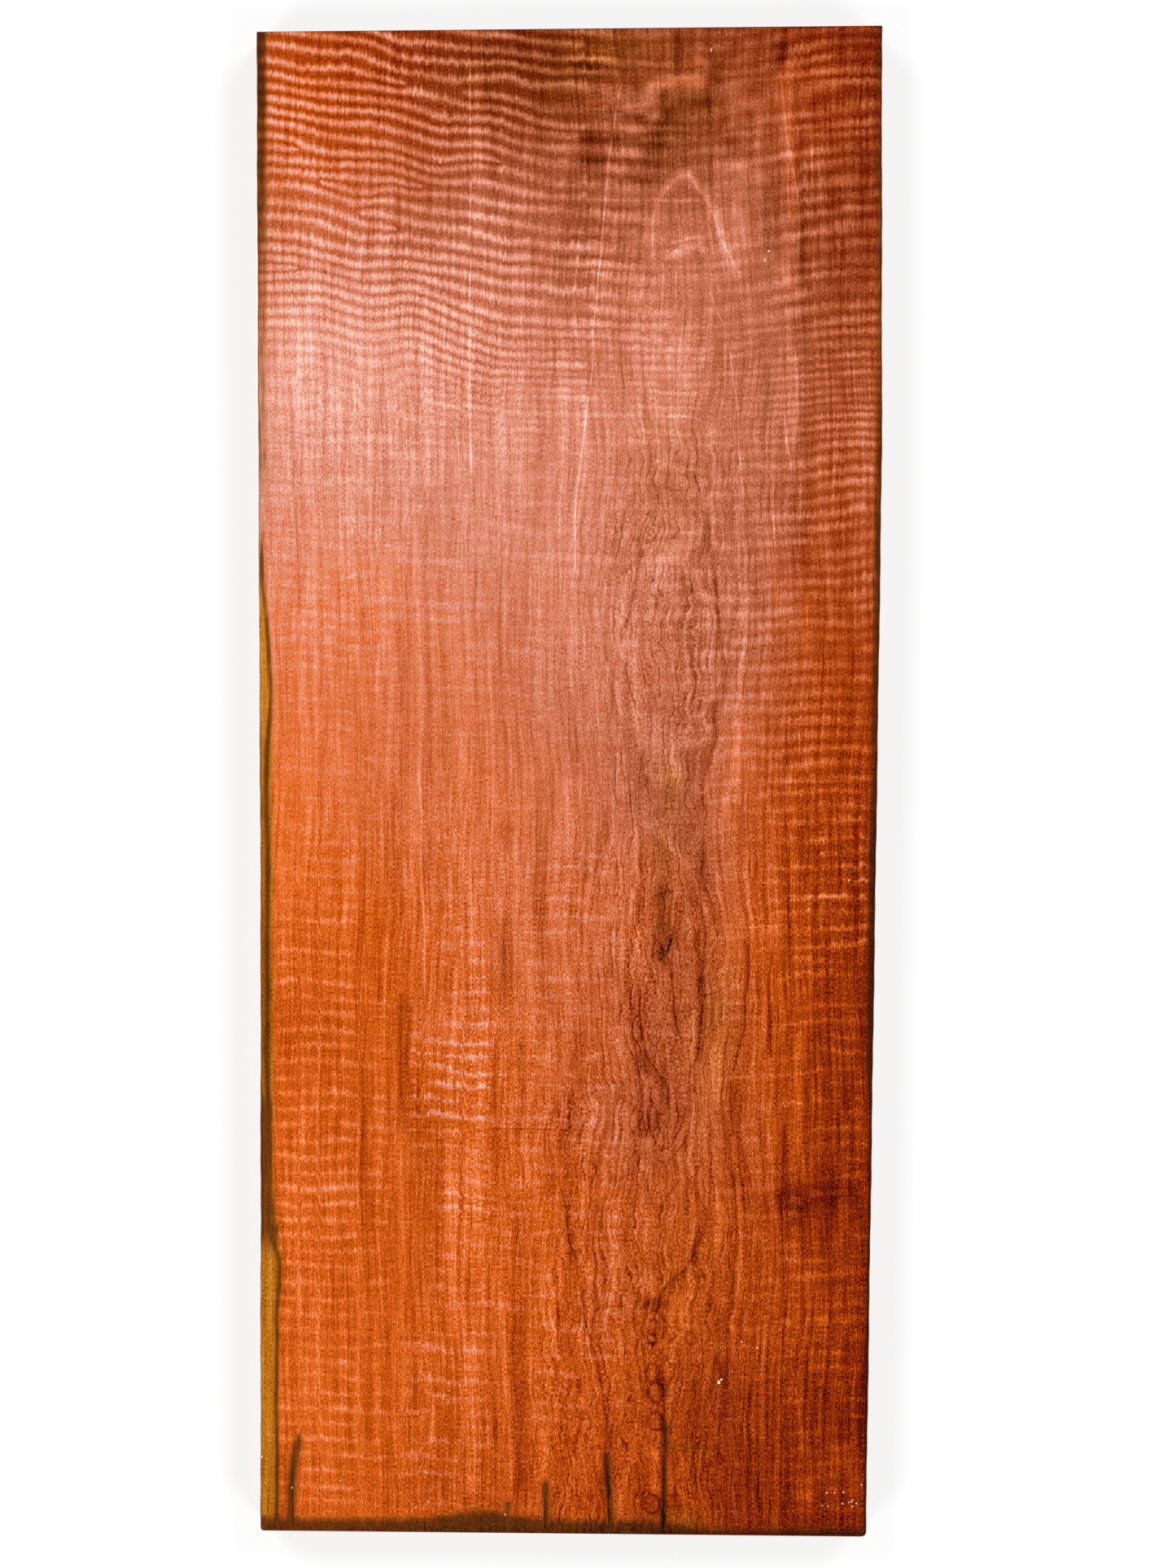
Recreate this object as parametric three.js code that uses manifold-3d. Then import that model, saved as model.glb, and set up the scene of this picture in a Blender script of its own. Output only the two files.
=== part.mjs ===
// A sawn and planed slab of massaranduba, a dense red tropical hardwood, lying on its back face.
// It is one solid board: two long sawn edges that taper towards the foot, two crosscut ends that are
// slightly out of square, eased arrises, drying checks in the foot end, insect pinholes and a resin split.
// Millimetres. X runs across the slab, Y along the grain towards the head end, and Z up to the show face.
// The origin is the centre of the slab's box, on its underside.
import * as THREE from "three";
import { mergeVertices } from "three/addons/utils/BufferGeometryUtils.js";
import Module from "manifold-3d";

const wasm = await Module();
wasm.setup();

// The board
const LENGTH = 1838; // along the right-hand edge, the longer one
const END_SKEW = 7.5; // how far short the left-hand edge stops at each end
const HEAD_WIDTH = 762;
const THICKNESS = 50;
const LEFT_TAPER = 5; // inwards, from the head to the left bend
const LEFT_BEND_Y = -158;
const RIGHT_TAPER = 19.5; // inwards, from the right bend to the foot
const RIGHT_BEND_Y = 396;
const ARRIS = 1; // width of the eased edge round both faces

// The sawn edges: shallow dips left by the blade, measured inwards from the edge's line
const SAW_STEP = 13;
const SAW_SWELL = { depth: 0.45, wavelength: 233 };
const SAW_CHATTER = { depth: 0.35, wavelength: 47 };
const LEFT_SAW_PHASE = 0.7;
const RIGHT_SAW_PHASE = 2.1;

// Small roundings where the foot's corners were knocked, and at the head
const FOOT_LEFT_ROUNDING = 5;
const FOOT_RIGHT_ROUNDING = 7;
const HEAD_ROUNDING = 1.5;
const ROUNDING_STEPS = 4;

// Drying checks in the foot end: where each opens, how far up the slab it runs and how wide its mouth is
const END_CHECKS = [
  { x: -336, reach: 104, mouth: 1.4 },
  { x: -176, reach: 34, mouth: 0.9 },
  { x: -79, reach: 30, mouth: 0.9 },
  { x: -29.5, reach: 62, mouth: 1.2 },
  { x: 48, reach: 92, mouth: 1.3 },
  { x: 114, reach: 78, mouth: 1.1 },
];
const CHECK_DEPTH = 24;

// Pinholes in the show face
const PINHOLES = [
  { x: -296.5, y: 619 },
  { x: 346, y: 718 },
  { x: 102, y: 244 },
  { x: -181, y: -290 },
  { x: 335, y: -94 },
];
const PINHOLE_RADIUS = 1.3;
const PINHOLE_DEPTH = 9;
const PINHOLE_SIDES = 8;

// The resin split beside the heart: a crooked slit with a thinner tail, both seen from above
const SPLIT_OUTLINE = [
  [116.4, -212], [119.9, -204.4], [120.7, -198.5], [124.6, -191], [127.8, -190.4],
  [125.5, -195], [123, -201], [121.6, -207.5], [119, -210.8],
];
const SPLIT_TAIL = [
  [118.3, -211.6], [119.8, -211], [122, -221.3], [120.7, -220.8],
];
const SPLIT_DEPTH = 6;

const CUTTER_CLEARANCE = 2; // how far a cutter stands out of the wood, so that it cuts through the skin

const headY = LENGTH / 2;
const footY = -LENGTH / 2;
const edgeX = HEAD_WIDTH / 2;

// How far a sawn edge lies inside its line at a place along the slab
function sawDip(y, phase) {
  const swell = Math.sin((2 * Math.PI * y) / SAW_SWELL.wavelength + phase);
  const chatter = Math.sin((2 * Math.PI * y) / SAW_CHATTER.wavelength + 2 * phase);
  return (SAW_SWELL.depth * (1 - swell) + SAW_CHATTER.depth * (1 - chatter)) / 2;
}

function leftEdgeX(y) {
  const towardsHead = THREE.MathUtils.clamp((headY - y) / (headY - LEFT_BEND_Y), 0, 1);
  return -edgeX + LEFT_TAPER * towardsHead + sawDip(y, LEFT_SAW_PHASE);
}

function rightEdgeX(y) {
  const towardsFoot = THREE.MathUtils.clamp((RIGHT_BEND_Y - y) / (RIGHT_BEND_Y - footY), 0, 1);
  return edgeX - RIGHT_TAPER * towardsFoot - sawDip(y, RIGHT_SAW_PHASE);
}

// The points of a corner, rounded between the edge it comes from and the edge it leaves by
function roundedCorner(corner, from, to, radius) {
  const start = corner.clone().add(from.clone().sub(corner).setLength(radius));
  const end = corner.clone().add(to.clone().sub(corner).setLength(radius));
  return new THREE.QuadraticBezierCurve(start, corner, end).getPoints(ROUNDING_STEPS);
}

// The points of a sawn edge between two corners, left out near the corners, where the roundings are
function sawnEdge(edge, fromY, toY) {
  const points = [];
  const steps = Math.round(Math.abs(toY - fromY) / SAW_STEP);
  for (let i = 1; i < steps; i++) {
    const y = THREE.MathUtils.lerp(fromY, toY, i / steps);
    points.push(new THREE.Vector2(edge(y), y));
  }
  return points;
}

// The slab seen from above, anticlockwise from the foot's left-hand corner
function slabOutline() {
  const footLeft = new THREE.Vector2(leftEdgeX(footY), footY + END_SKEW);
  const footRight = new THREE.Vector2(rightEdgeX(footY), footY);
  const headRight = new THREE.Vector2(edgeX, headY);
  const headLeft = new THREE.Vector2(-edgeX, headY - END_SKEW);
  return [
    ...roundedCorner(footLeft, headLeft, footRight, FOOT_LEFT_ROUNDING),
    ...roundedCorner(footRight, footLeft, headRight, FOOT_RIGHT_ROUNDING),
    ...sawnEdge(rightEdgeX, footRight.y, headRight.y),
    ...roundedCorner(headRight, footRight, headLeft, HEAD_ROUNDING),
    ...roundedCorner(headLeft, headRight, footLeft, HEAD_ROUNDING),
    ...sawnEdge(leftEdgeX, headLeft.y, footLeft.y),
  ];
}

function board() {
  const geometry = new THREE.ExtrudeGeometry(new THREE.Shape(slabOutline()), {
    depth: THICKNESS - 2 * ARRIS,
    bevelThickness: ARRIS,
    bevelSize: ARRIS,
    bevelOffset: -ARRIS,
    bevelSegments: 1,
  });
  return geometry.translate(0, 0, ARRIS);
}

// A slit of some depth below the show face, from its outline seen from above
function slit(points, depth) {
  const geometry = new THREE.ExtrudeGeometry(new THREE.Shape(points), {
    depth: depth + CUTTER_CLEARANCE,
    bevelEnabled: false,
  });
  return geometry.translate(0, 0, THICKNESS - depth);
}

function endCheck({ x, reach, mouth }) {
  const outside = footY - CUTTER_CLEARANCE;
  const shortfall = END_SKEW * THREE.MathUtils.inverseLerp(edgeX, -edgeX, x);
  const points = [
    new THREE.Vector2(x - mouth / 2, outside),
    new THREE.Vector2(x + mouth / 2, outside),
    new THREE.Vector2(x, footY + shortfall + reach),
  ];
  return slit(points, CHECK_DEPTH);
}

function pinhole({ x, y }) {
  const height = PINHOLE_DEPTH + CUTTER_CLEARANCE;
  return new THREE.CylinderGeometry(PINHOLE_RADIUS, PINHOLE_RADIUS, height, PINHOLE_SIDES)
    .rotateX(Math.PI / 2)
    .translate(x, y, THICKNESS - PINHOLE_DEPTH + height / 2);
}

function asPoints(pairs) {
  return pairs.map(([x, y]) => new THREE.Vector2(x, y));
}

// A closed geometry as a solid that can be joined and cut
function solidOf(geometry) {
  geometry.deleteAttribute("normal");
  geometry.deleteAttribute("uv");
  const merged = mergeVertices(geometry);
  return new wasm.Manifold(
    new wasm.Mesh({
      numProp: 3,
      vertProperties: new Float32Array(merged.attributes.position.array),
      triVerts: new Uint32Array(merged.index.array),
    }),
  );
}

// A solid back as a geometry with flat faces
function geometryOf(solid) {
  const mesh = solid.getMesh();
  const geometry = new THREE.BufferGeometry();
  geometry.setAttribute("position", new THREE.BufferAttribute(mesh.vertProperties, 3));
  geometry.setIndex(new THREE.BufferAttribute(mesh.triVerts, 1));
  const faceted = geometry.toNonIndexed();
  faceted.computeVertexNormals();
  return faceted;
}

const cutters = [
  ...END_CHECKS.map(endCheck),
  ...PINHOLES.map(pinhole),
  slit(asPoints(SPLIT_OUTLINE), SPLIT_DEPTH),
  slit(asPoints(SPLIT_TAIL), SPLIT_DEPTH),
];
const slabSolid = cutters.reduce((solid, cutter) => solid.subtract(solidOf(cutter)), solidOf(board()));

const massaranduba = new THREE.MeshStandardMaterial({ color: 0xc8643c, roughness: 0.5, metalness: 0 });

const slab = new THREE.Mesh(geometryOf(slabSolid), massaranduba);
slab.name = "slab";

const group = new THREE.Group();
group.add(slab);

export default group;
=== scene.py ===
"""A planed slab of massaranduba with curly figure, lying show face up on a pale floor.

The board is one mesh, built from the sizes that the saws left. The growth rings, the curl, the stains and the
resin lines are worked out from formulas at each vertex, and the wood's finishes turn them into colour, gloss
and fine relief. A broad highlight and the pink reflection of the lights, a thin rim of arris shade, and the
shade in the holes, a scratch and a hairline crack are painted into the colour as well. Lengths are in
millimetres until a mesh is made. X runs across the board, Y along the grain towards the head end, and Z up to
the show face.
"""

from __future__ import annotations

import logging
import math
from collections.abc import Iterable, Mapping, Sequence
from dataclasses import dataclass, field
from enum import Enum
from typing import Any

import bpy
import numpy as np
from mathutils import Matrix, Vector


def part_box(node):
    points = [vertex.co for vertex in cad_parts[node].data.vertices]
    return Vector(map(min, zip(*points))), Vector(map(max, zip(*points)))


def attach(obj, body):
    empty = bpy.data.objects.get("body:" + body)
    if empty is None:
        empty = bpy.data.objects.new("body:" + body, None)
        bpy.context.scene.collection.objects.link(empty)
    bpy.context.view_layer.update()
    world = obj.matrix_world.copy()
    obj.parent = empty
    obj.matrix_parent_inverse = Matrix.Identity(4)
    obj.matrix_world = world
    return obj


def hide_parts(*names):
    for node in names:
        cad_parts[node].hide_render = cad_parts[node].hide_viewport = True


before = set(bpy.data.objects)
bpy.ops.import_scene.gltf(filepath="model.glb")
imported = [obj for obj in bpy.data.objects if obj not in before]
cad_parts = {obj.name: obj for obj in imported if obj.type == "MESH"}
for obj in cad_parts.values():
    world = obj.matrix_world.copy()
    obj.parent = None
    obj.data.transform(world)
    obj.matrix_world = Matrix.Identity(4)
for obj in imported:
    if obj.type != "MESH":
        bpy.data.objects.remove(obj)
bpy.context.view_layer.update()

LOG = logging.getLogger("slab")
Array = np.ndarray
Point2 = tuple[float, float]
Rgb = tuple[int, int, int]
Stops = tuple[tuple[float, Rgb], ...]

MM = 0.001
BODY = "root"
LIGHT_LEVEL = 1.12  # how bright the studio lights a white card, so that no wood colour has to pass 0.9
SKY_LEVEL = 0.1  # the part of it that comes from all round
HAZE = 0.0023  # what the satin surface reflects of the lights, on top of its own colour
FULL_SCALE = 255.0
SCREEN_STEP = 0.04045  # a screen's levels are linear below this, and follow a power curve above it
SCREEN_SLOPE = 12.92
SCREEN_OFFSET = 0.055
SCREEN_POWER = 2.4
NOISE_GAIN = 7.5  # brings Blender's noise to about -2 to 2
PIXEL = 0.99  # length on the board of one pixel of the photograph
MIDDLE = (699.5, 959.75)  # pixel of the photograph that shows the middle of the board


def rise(value: Array, low: float | Array, high: float | Array) -> Array:
    """Smooth step from 0 at low to 1 at high; it falls instead where high is less than low."""
    t = np.clip((value - low) / (high - low), 0.0, 1.0)
    return t * t * (3.0 - 2.0 * t)


def hump(value: Array, centre: float | Array, width: float | Array) -> Array:
    """Bell curve of height 1 at centre."""
    return np.exp(-(((value - centre) / width) ** 2))


def blend(a: Array | float, b: Array | float, share: Array | float) -> Array:
    """Value that lies a share of the way from a to b."""
    return a + (b - a) * share


def paired(*numbers: float) -> tuple[Point2, ...]:
    """Points, from their coordinates one after the other."""
    return tuple(zip(numbers[::2], numbers[1::2], strict=True))


def traced(*pixels: Point2) -> tuple[Point2, ...]:
    """Places on the board of points traced on the photograph, given as pixels across and down."""
    return tuple(((across - MIDDLE[0]) * PIXEL, (MIDDLE[1] - down) * PIXEL) for across, down in pixels)


def linear(colour: Rgb) -> tuple[float, float, float, float]:
    """Linear base colour that shows as a screen colour under the studio's light.

    Args:
        colour: Red, green and blue from 0 to 255, as seen on a screen.

    Returns:
        Linear red, green and blue, and an alpha of 1.
    """
    parts = [c / FULL_SCALE for c in colour]
    curved = [((part + SCREEN_OFFSET) / (1.0 + SCREEN_OFFSET)) ** SCREEN_POWER for part in parts]
    levels = [
        part / SCREEN_SLOPE if part <= SCREEN_STEP else level
        for part, level in zip(parts, curved, strict=True)
    ]
    return (*(max(level - HAZE, 0.0) / LIGHT_LEVEL for level in levels), 1.0)


# The board's shape


@dataclass(frozen=True)
class Board:
    """The board as the saws and the planer left it."""

    length: float
    width: float
    thickness: float
    end_skew: float = 7.5
    left_taper: float = 5.0
    left_bend: float = -158.0
    right_taper: float = 19.5
    right_bend: float = 396.0
    foot_left_rounding: float = 5.0
    foot_right_rounding: float = 7.0
    head_rounding: float = 1.5
    left_phase: float = 0.7
    right_phase: float = 2.1

    @classmethod
    def from_frame(cls) -> Board:
        """Board with the length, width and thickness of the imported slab.

        Returns:
            A board of that size.
        """
        low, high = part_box("slab")
        size = [round((b - a) / MM, 2) for a, b in zip(low, high, strict=True)]
        return cls(length=size[1], width=size[0], thickness=size[2])

    @staticmethod
    def saw_dip(y: Array, phase: float) -> Array:
        """Depth of the saw's long swells and shorter chatter in a long edge.

        Args:
            y: Places along the board.
            phase: Turn of the swells, in radians.

        Returns:
            The depth at each place.
        """
        swell_depth, swell_length = 0.45, 233.0
        chatter_depth, chatter_length = 0.35, 47.0
        swell = swell_depth * (1.0 - np.sin(2 * np.pi * y / swell_length + phase))
        chatter = chatter_depth * (1.0 - np.sin(2 * np.pi * y / chatter_length + 2 * phase))
        return (swell + chatter) / 2

    def left(self, y: Array) -> Array:
        """Where the left-hand edge lies at each place along the board."""
        tapered = np.clip((self.length / 2 - y) / (self.length / 2 - self.left_bend), 0.0, 1.0)
        return -self.width / 2 + self.left_taper * tapered + self.saw_dip(y, self.left_phase)

    def right(self, y: Array) -> Array:
        """Where the right-hand edge lies at each place along the board."""
        tapered = np.clip((self.right_bend - y) / (self.right_bend + self.length / 2), 0.0, 1.0)
        return self.width / 2 - self.right_taper * tapered - self.saw_dip(y, self.right_phase)

    @staticmethod
    def corner(distance: Array, radius: float) -> Array:
        """How far a rounded corner cuts back an end, at a distance from the long edge."""
        share = np.clip(distance / radius, 0.0, 1.0)
        return radius * (1.0 - np.sqrt(share)) ** 2

    def foot(self, x: Array) -> Array:
        """Where the foot end lies at each place across the board.

        Args:
            x: Places across the board.

        Returns:
            The Y of the end.
        """
        y = np.full_like(x, -self.length / 2)
        left, right = self.left(y), self.right(y)
        skewed = self.end_skew * np.clip((right - x) / (right - left), 0.0, 1.0)
        knocked = self.corner(x - left, self.foot_left_rounding)
        return y + skewed + knocked + self.corner(right - x, self.foot_right_rounding)

    def head(self, x: Array) -> Array:
        """Where the head end lies at each place across the board.

        Args:
            x: Places across the board.

        Returns:
            The Y of the end.
        """
        y = np.full_like(x, self.length / 2)
        left, right = self.left(y), self.right(y)
        skewed = self.end_skew * np.clip((right - x) / (right - left), 0.0, 1.0)
        knocked = self.corner(x - left, self.head_rounding)
        return y - skewed - knocked - self.corner(right - x, self.head_rounding)

    def plan(self, across: Array, along: Array, inset: Array | float) -> tuple[Array, Array]:
        """Places in the plan.

        Args:
            across: Fractions of the way from the left edge to the right one.
            along: Fractions of the way from the foot to the head.
            inset: How far inside the outline the fractions 0 and 1 lie.

        Returns:
            The X and the Y of each place.
        """
        y_line = (along - 0.5) * self.length
        x = blend(self.left(y_line) + inset, self.right(y_line) - inset, across)
        y = blend(self.foot(x) + inset, self.head(x) - inset, along)
        return x, y


@dataclass
class Shell:
    """Vertices and faces of a closed mesh that grows part by part."""

    points: list[Array] = field(default_factory=list)
    faces: list[Sequence[int]] = field(default_factory=list)
    count: int = 0

    def add_points(self, x: Array, y: Array, z: Array | float) -> Array:
        """Adds vertices.

        Args:
            x: Their places across the board.
            y: Their places along it.
            z: Their heights, or the one height of them all.

        Returns:
            Their numbers, in the shape of x.
        """
        block = np.stack([x, y, np.broadcast_to(z, x.shape)], axis=-1).reshape(-1, 3)
        numbers = np.arange(self.count, self.count + len(block)).reshape(x.shape)
        self.points.append(block)
        self.count += len(block)
        return numbers

    def add_grid(self, grid: Array, flip: bool = False) -> None:
        """Adds the quads of a grid, facing up or, flipped, down.

        Args:
            grid: The vertex numbers, in rows along Y.
            flip: Whether the quads face down.
        """
        corners = [grid[:-1, :-1], grid[:-1, 1:], grid[1:, 1:], grid[1:, :-1]]
        quads = np.stack([c.ravel() for c in corners], axis=1)
        self.faces.extend(quads[:, ::-1].tolist() if flip else quads.tolist())

    def add_wall(self, upper: Array, lower: Array) -> None:
        """Adds a strip of quads between two closed loops of the same length, facing outwards."""
        quads = np.stack([lower, np.roll(lower, -1), np.roll(upper, -1), upper], axis=1)
        self.faces.extend(quads.tolist())

    def add_seam(self, outer: Array, inner: Array) -> None:
        """Adds triangles, facing down, between two open runs of vertices that lie side by side.

        Args:
            outer: Vertex numbers of the run on the rim.
            inner: Vertex numbers of the run inside it.
        """
        i, j = 0, 0
        last_i, last_j = len(outer) - 1, len(inner) - 1
        while i < last_i or j < last_j:
            if j == last_j or (i < last_i and (i + 1) / last_i <= (j + 1) / last_j):
                self.faces.append((outer[i + 1], outer[i], inner[j]))
                i += 1
            else:
                self.faces.append((outer[i], inner[j], inner[j + 1]))
                j += 1

    def mesh(self, name: str) -> bpy.types.Mesh:
        """Blender mesh of the shell, in metres.

        Args:
            name: The name that the mesh gets.

        Returns:
            The mesh.
        """
        mesh = bpy.data.meshes.new(name)
        mesh.from_pydata(np.concatenate(self.points) * MM, [], self.faces)
        mesh.update()
        return mesh


def ribs(total: float, fine: Sequence[float], spans: Sequence[Point2]) -> Array:
    """Fractions of a length at which a grid has its lines, closer together near both ends.

    Args:
        total: The length.
        fine: The first gaps, counted from either end.
        spans: Where each span in between ends, as a fraction of the length, and the gap in it.

    Returns:
        Rising fractions from 0 to 1.
    """
    rim = np.cumsum([0.0, *fine])
    places, start = [rim[:-1]], rim[-1]
    for share, step in spans:
        stop = min(share * total, total - rim[-1])
        places.append(np.linspace(start, stop, max(round((stop - start) / step), 1), endpoint=False))
        start = stop
    return np.concatenate([*places, total - rim[::-1]]) / total


def border(grid: Array) -> Array:
    """Values round the rim of a grid, anticlockwise from its first corner."""
    return np.concatenate([grid[0, :-1], grid[:-1, -1], grid[-1, :0:-1], grid[:0:-1, 0]])


def rim_sides(grid: Array) -> list[Array]:
    """The four sides of a grid's rim, anticlockwise, with both corners on each."""
    return [grid[0, :], grid[:, -1], grid[-1, ::-1], grid[::-1, 0]]


@dataclass(frozen=True)
class Slit:
    """A crack that opens at the show face: a crooked wedge of no thickness at its tip."""

    line: tuple[Point2, ...]
    widths: tuple[float, ...]
    depths: tuple[float, ...]


@dataclass(frozen=True)
class Damage:
    """What is cut out of the sound board: insect pinholes, a resin split and drying checks."""

    pinholes: tuple[Point2, ...] = ((-296.5, 619), (346, 718), (102, 244), (-181, -290), (335, -94))
    pinhole_radius: float = 1.3
    pinhole_depth: float = 9.0
    slits: tuple[Slit, ...] = (
        Slit(
            line=((116.6, -213.5), (119.0, -208.0), (121.0, -201.5), (124.0, -194.5), (127.2, -190.6)),
            widths=(0.5, 1.9, 2.4, 2.2, 0.5),
            depths=(3.0, 6.0, 6.0, 5.0, 2.0),
        ),
        Slit(
            line=((118.9, -210.6), (119.8, -216.0), (121.4, -221.2)),
            widths=(1.0, 1.2, 0.4),
            depths=(5.0, 4.0, 2.0),
        ),
        Slit(
            line=((126.0, -228.0), (126.4, -234.0), (126.2, -240.5)),
            widths=(0.3, 0.8, 0.3),
            depths=(1.0, 3.0, 1.0),
        ),
    )
    checks: tuple[tuple[float, float, float], ...] = (
        (-336.0, 104.0, 1.4),
        (-176.0, 34.0, 0.9),
        (-79.0, 30.0, 0.9),
        (-29.5, 62.0, 1.2),
        (48.0, 92.0, 1.3),
        (114.0, 78.0, 1.1),
    )
    check_depth: float = 24.0
    check_steps: int = 7
    check_wander: float = 0.9
    closed_width: float = 0.3
    closed_depth: float = 6.0
    proud: float = 1.5
    slit_taper: float = 0.45
    hole_sides: int = 12
    hole_shift: float = 0.6
    hole_taper: float = 0.8

    def cutter(self, board: Board) -> bpy.types.Mesh:
        """One mesh of closed solids to cut out of the board.

        Args:
            board: The board that is cut.

        Returns:
            The mesh.
        """
        shell = Shell()
        for number, (x, y) in enumerate(self.pinholes):
            self._add_pinhole(shell, board, x, y, number)
        for slit in (*self.slits, *self._end_checks(board)):
            self._add_slit(shell, board, slit)
        return shell.mesh("cutter")

    def _end_checks(self, board: Board) -> Iterable[Slit]:
        """Draws the drying checks in the foot end, as crooked slits.

        Args:
            board: The board that is cut.

        Yields:
            The checks, one by one.
        """
        for number, (x, reach, mouth) in enumerate(self.checks):
            y = float(board.foot(np.array([x]))[0])
            steps = np.linspace(0.0, 1.0, self.check_steps)
            across = x + self.check_wander * np.sin(steps * 7.0 + number * 1.9) * steps
            line = [(x, y - self.proud), *zip(across.tolist(), (y + steps * reach).tolist(), strict=True)]
            narrowed = mouth * (1.0 - 0.9 * steps[1:])
            shallower = self.check_depth * (1.0 - 0.85 * steps[1:] ** 1.5)
            widths = [self.closed_width, self.closed_width, *narrowed.tolist()]
            depths = [self.closed_depth, self.closed_depth, *shallower.tolist()]
            yield Slit(tuple(line), tuple(widths), tuple(depths))

    def _add_pinhole(self, shell: Shell, board: Board, x: float, y: float, number: int) -> None:
        """Adds a slightly oval, tapered plug.

        Args:
            shell: What the plug is added to.
            board: The board that is cut.
            x: The hole's place across the board.
            y: Its place along it.
            number: The hole's number, which sets its shape.
        """
        turn = np.linspace(0.0, 2 * np.pi, self.hole_sides, endpoint=False)
        oval, ragged = 0.12 * np.sin(2 * turn + number), 0.06 * np.sin(5 * turn + number)
        radius = self.pinhole_radius * (1.0 + oval + ragged)
        top_z, bottom_z = board.thickness + self.proud, board.thickness - self.pinhole_depth
        top = shell.add_points(x + radius * np.cos(turn), y + radius * np.sin(turn), top_z)
        narrow = self.hole_taper * radius
        bottom_x = x + self.hole_shift + narrow * np.cos(turn)
        bottom = shell.add_points(bottom_x, y + narrow * np.sin(turn), bottom_z)
        shell.add_wall(top, bottom)
        shell.faces.append(top.tolist())
        shell.faces.append(bottom[::-1].tolist())

    def _add_slit(self, shell: Shell, board: Board, slit: Slit) -> None:
        """Adds the wedge that a slit leaves empty.

        Args:
            shell: What the wedge is added to.
            board: The board that is cut.
            slit: The slit.
        """
        line, widths, depths = (np.array(part, float) for part in (slit.line, slit.widths, slit.depths))
        heading = np.gradient(line, axis=0)
        sideways = np.stack([heading[:, 1], -heading[:, 0]], axis=1)
        sideways *= (widths / 2 / np.linalg.norm(sideways, axis=1))[:, None]
        right, left = line + sideways, line - sideways
        floor = board.thickness - depths
        rows = [
            (right, board.thickness + self.proud),
            (left, board.thickness + self.proud),
            (line - sideways * self.slit_taper, floor),
            (line + sideways * self.slit_taper, floor),
        ]
        rings = np.stack([shell.add_points(p[:, 0], p[:, 1], z) for p, z in rows], axis=1)
        for here, there in zip(rings[:-1], rings[1:], strict=True):
            for a, b in ((0, 1), (1, 2), (2, 3), (3, 0)):
                shell.faces.append((here[a], there[a], there[b], here[b]))
        shell.faces.append(rings[0].tolist())
        shell.faces.append(rings[-1][::-1].tolist())


# The figure in the wood


class Mark(Enum):
    """Numbers that the figure leaves at each vertex for the finishes to read."""

    RINGS = "rings"
    FIBRE = "fibre"
    CURL = "curl"
    CURL_POWER = "curl_power"
    CURL_SHARP = "curl_sharp"
    LOOSE = "loose"
    # The pink: partly the wood's colour, partly painted reflection of the lights.
    TONE = "tone"
    BLUSH_AND_SHEEN = "blush"
    BLUSH_GAIN = "blush_gain"
    CURL_BLUSH = "curl_blush"
    # Dark stain, with a thin rim of painted arris shade at the outline.
    UMBER = "umber"
    OCHRE = "ochre"
    WILD = "wild"
    GRAIN = "grain"
    PALE_SIDE = "pale_side"
    PALE_POWER = "pale_power"
    DARK_SIDE = "dark_side"
    DARK_POWER = "dark_power"
    PALE_CROSS = "pale_cross"
    PALE_CROSS_POWER = "pale_cross_power"
    DARK_CROSS = "dark_cross"
    DARK_CROSS_POWER = "dark_cross_power"


@dataclass(frozen=True)
class Patch:
    """A soft oval area where something grows stronger or, with a negative amount, weaker."""

    x: float
    y: float
    across: float
    along: float
    amount: float


def laid(*rows: tuple[float, float, float, float, float]) -> tuple[Patch, ...]:
    """Soft oval areas, each from its place across and along, its half-widths and its amount."""
    return tuple(Patch(*row) for row in rows)


def patches(x: Array, y: Array, parts: Iterable[Patch]) -> Array:
    """Sum of soft oval areas at each place.

    Args:
        x: Places across the board.
        y: Places along it.
        parts: The areas.

    Returns:
        The sum.
    """
    total = np.zeros_like(x)
    for p in parts:
        total += p.amount * hump(x, p.x, p.across) * hump(y, p.y, p.along)
    return total


@dataclass(frozen=True)
class Panel:
    """An upright strip with clear sides and soft ends, where something grows stronger."""

    left: float
    right: float
    foot: float
    head: float
    amount: float
    side: float = 5.0
    end: float = 35.0


def panels(x: Array, y: Array, parts: Iterable[Panel]) -> Array:
    """Sum of upright strips at each place.

    Args:
        x: Places across the board.
        y: Places along it.
        parts: The strips.

    Returns:
        The sum.
    """
    total = np.zeros_like(x)
    for p in parts:
        across = rise(x, p.left - p.side, p.left + p.side) * rise(x, p.right + p.side, p.right - p.side)
        along = rise(y, p.foot - p.end, p.foot + p.end) * rise(y, p.head + p.end, p.head - p.end)
        total += p.amount * across * along
    return total


@dataclass(frozen=True)
class Smear:
    """A soft streak along a crooked line."""

    points: tuple[Point2, ...]
    width: float
    amount: float


def streaks_through(*rows: tuple[float, ...]) -> tuple[Smear, ...]:
    """Soft streaks, each from its width, its amount and the pixels of the photograph that it runs through."""
    return tuple(Smear(traced(*paired(*places)), width, amount) for width, amount, *places in rows)


def smears(x: Array, y: Array, parts: Iterable[Smear]) -> Array:
    """Sum of soft streaks at each place.

    Args:
        x: Places across the board.
        y: Places along it.
        parts: The streaks.

    Returns:
        The sum.
    """
    total = np.zeros_like(x)
    for smear in parts:
        away = np.full_like(x, np.inf)
        for (ax, ay), (bx, by) in zip(smear.points[:-1], smear.points[1:], strict=True):
            run_x, run_y = bx - ax, by - ay
            share = np.clip(((x - ax) * run_x + (y - ay) * run_y) / (run_x**2 + run_y**2), 0.0, 1.0)
            away = np.minimum(away, np.hypot(x - ax - share * run_x, y - ay - share * run_y))
        total += smear.amount * hump(away, 0.0, smear.width)
    return total


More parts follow.
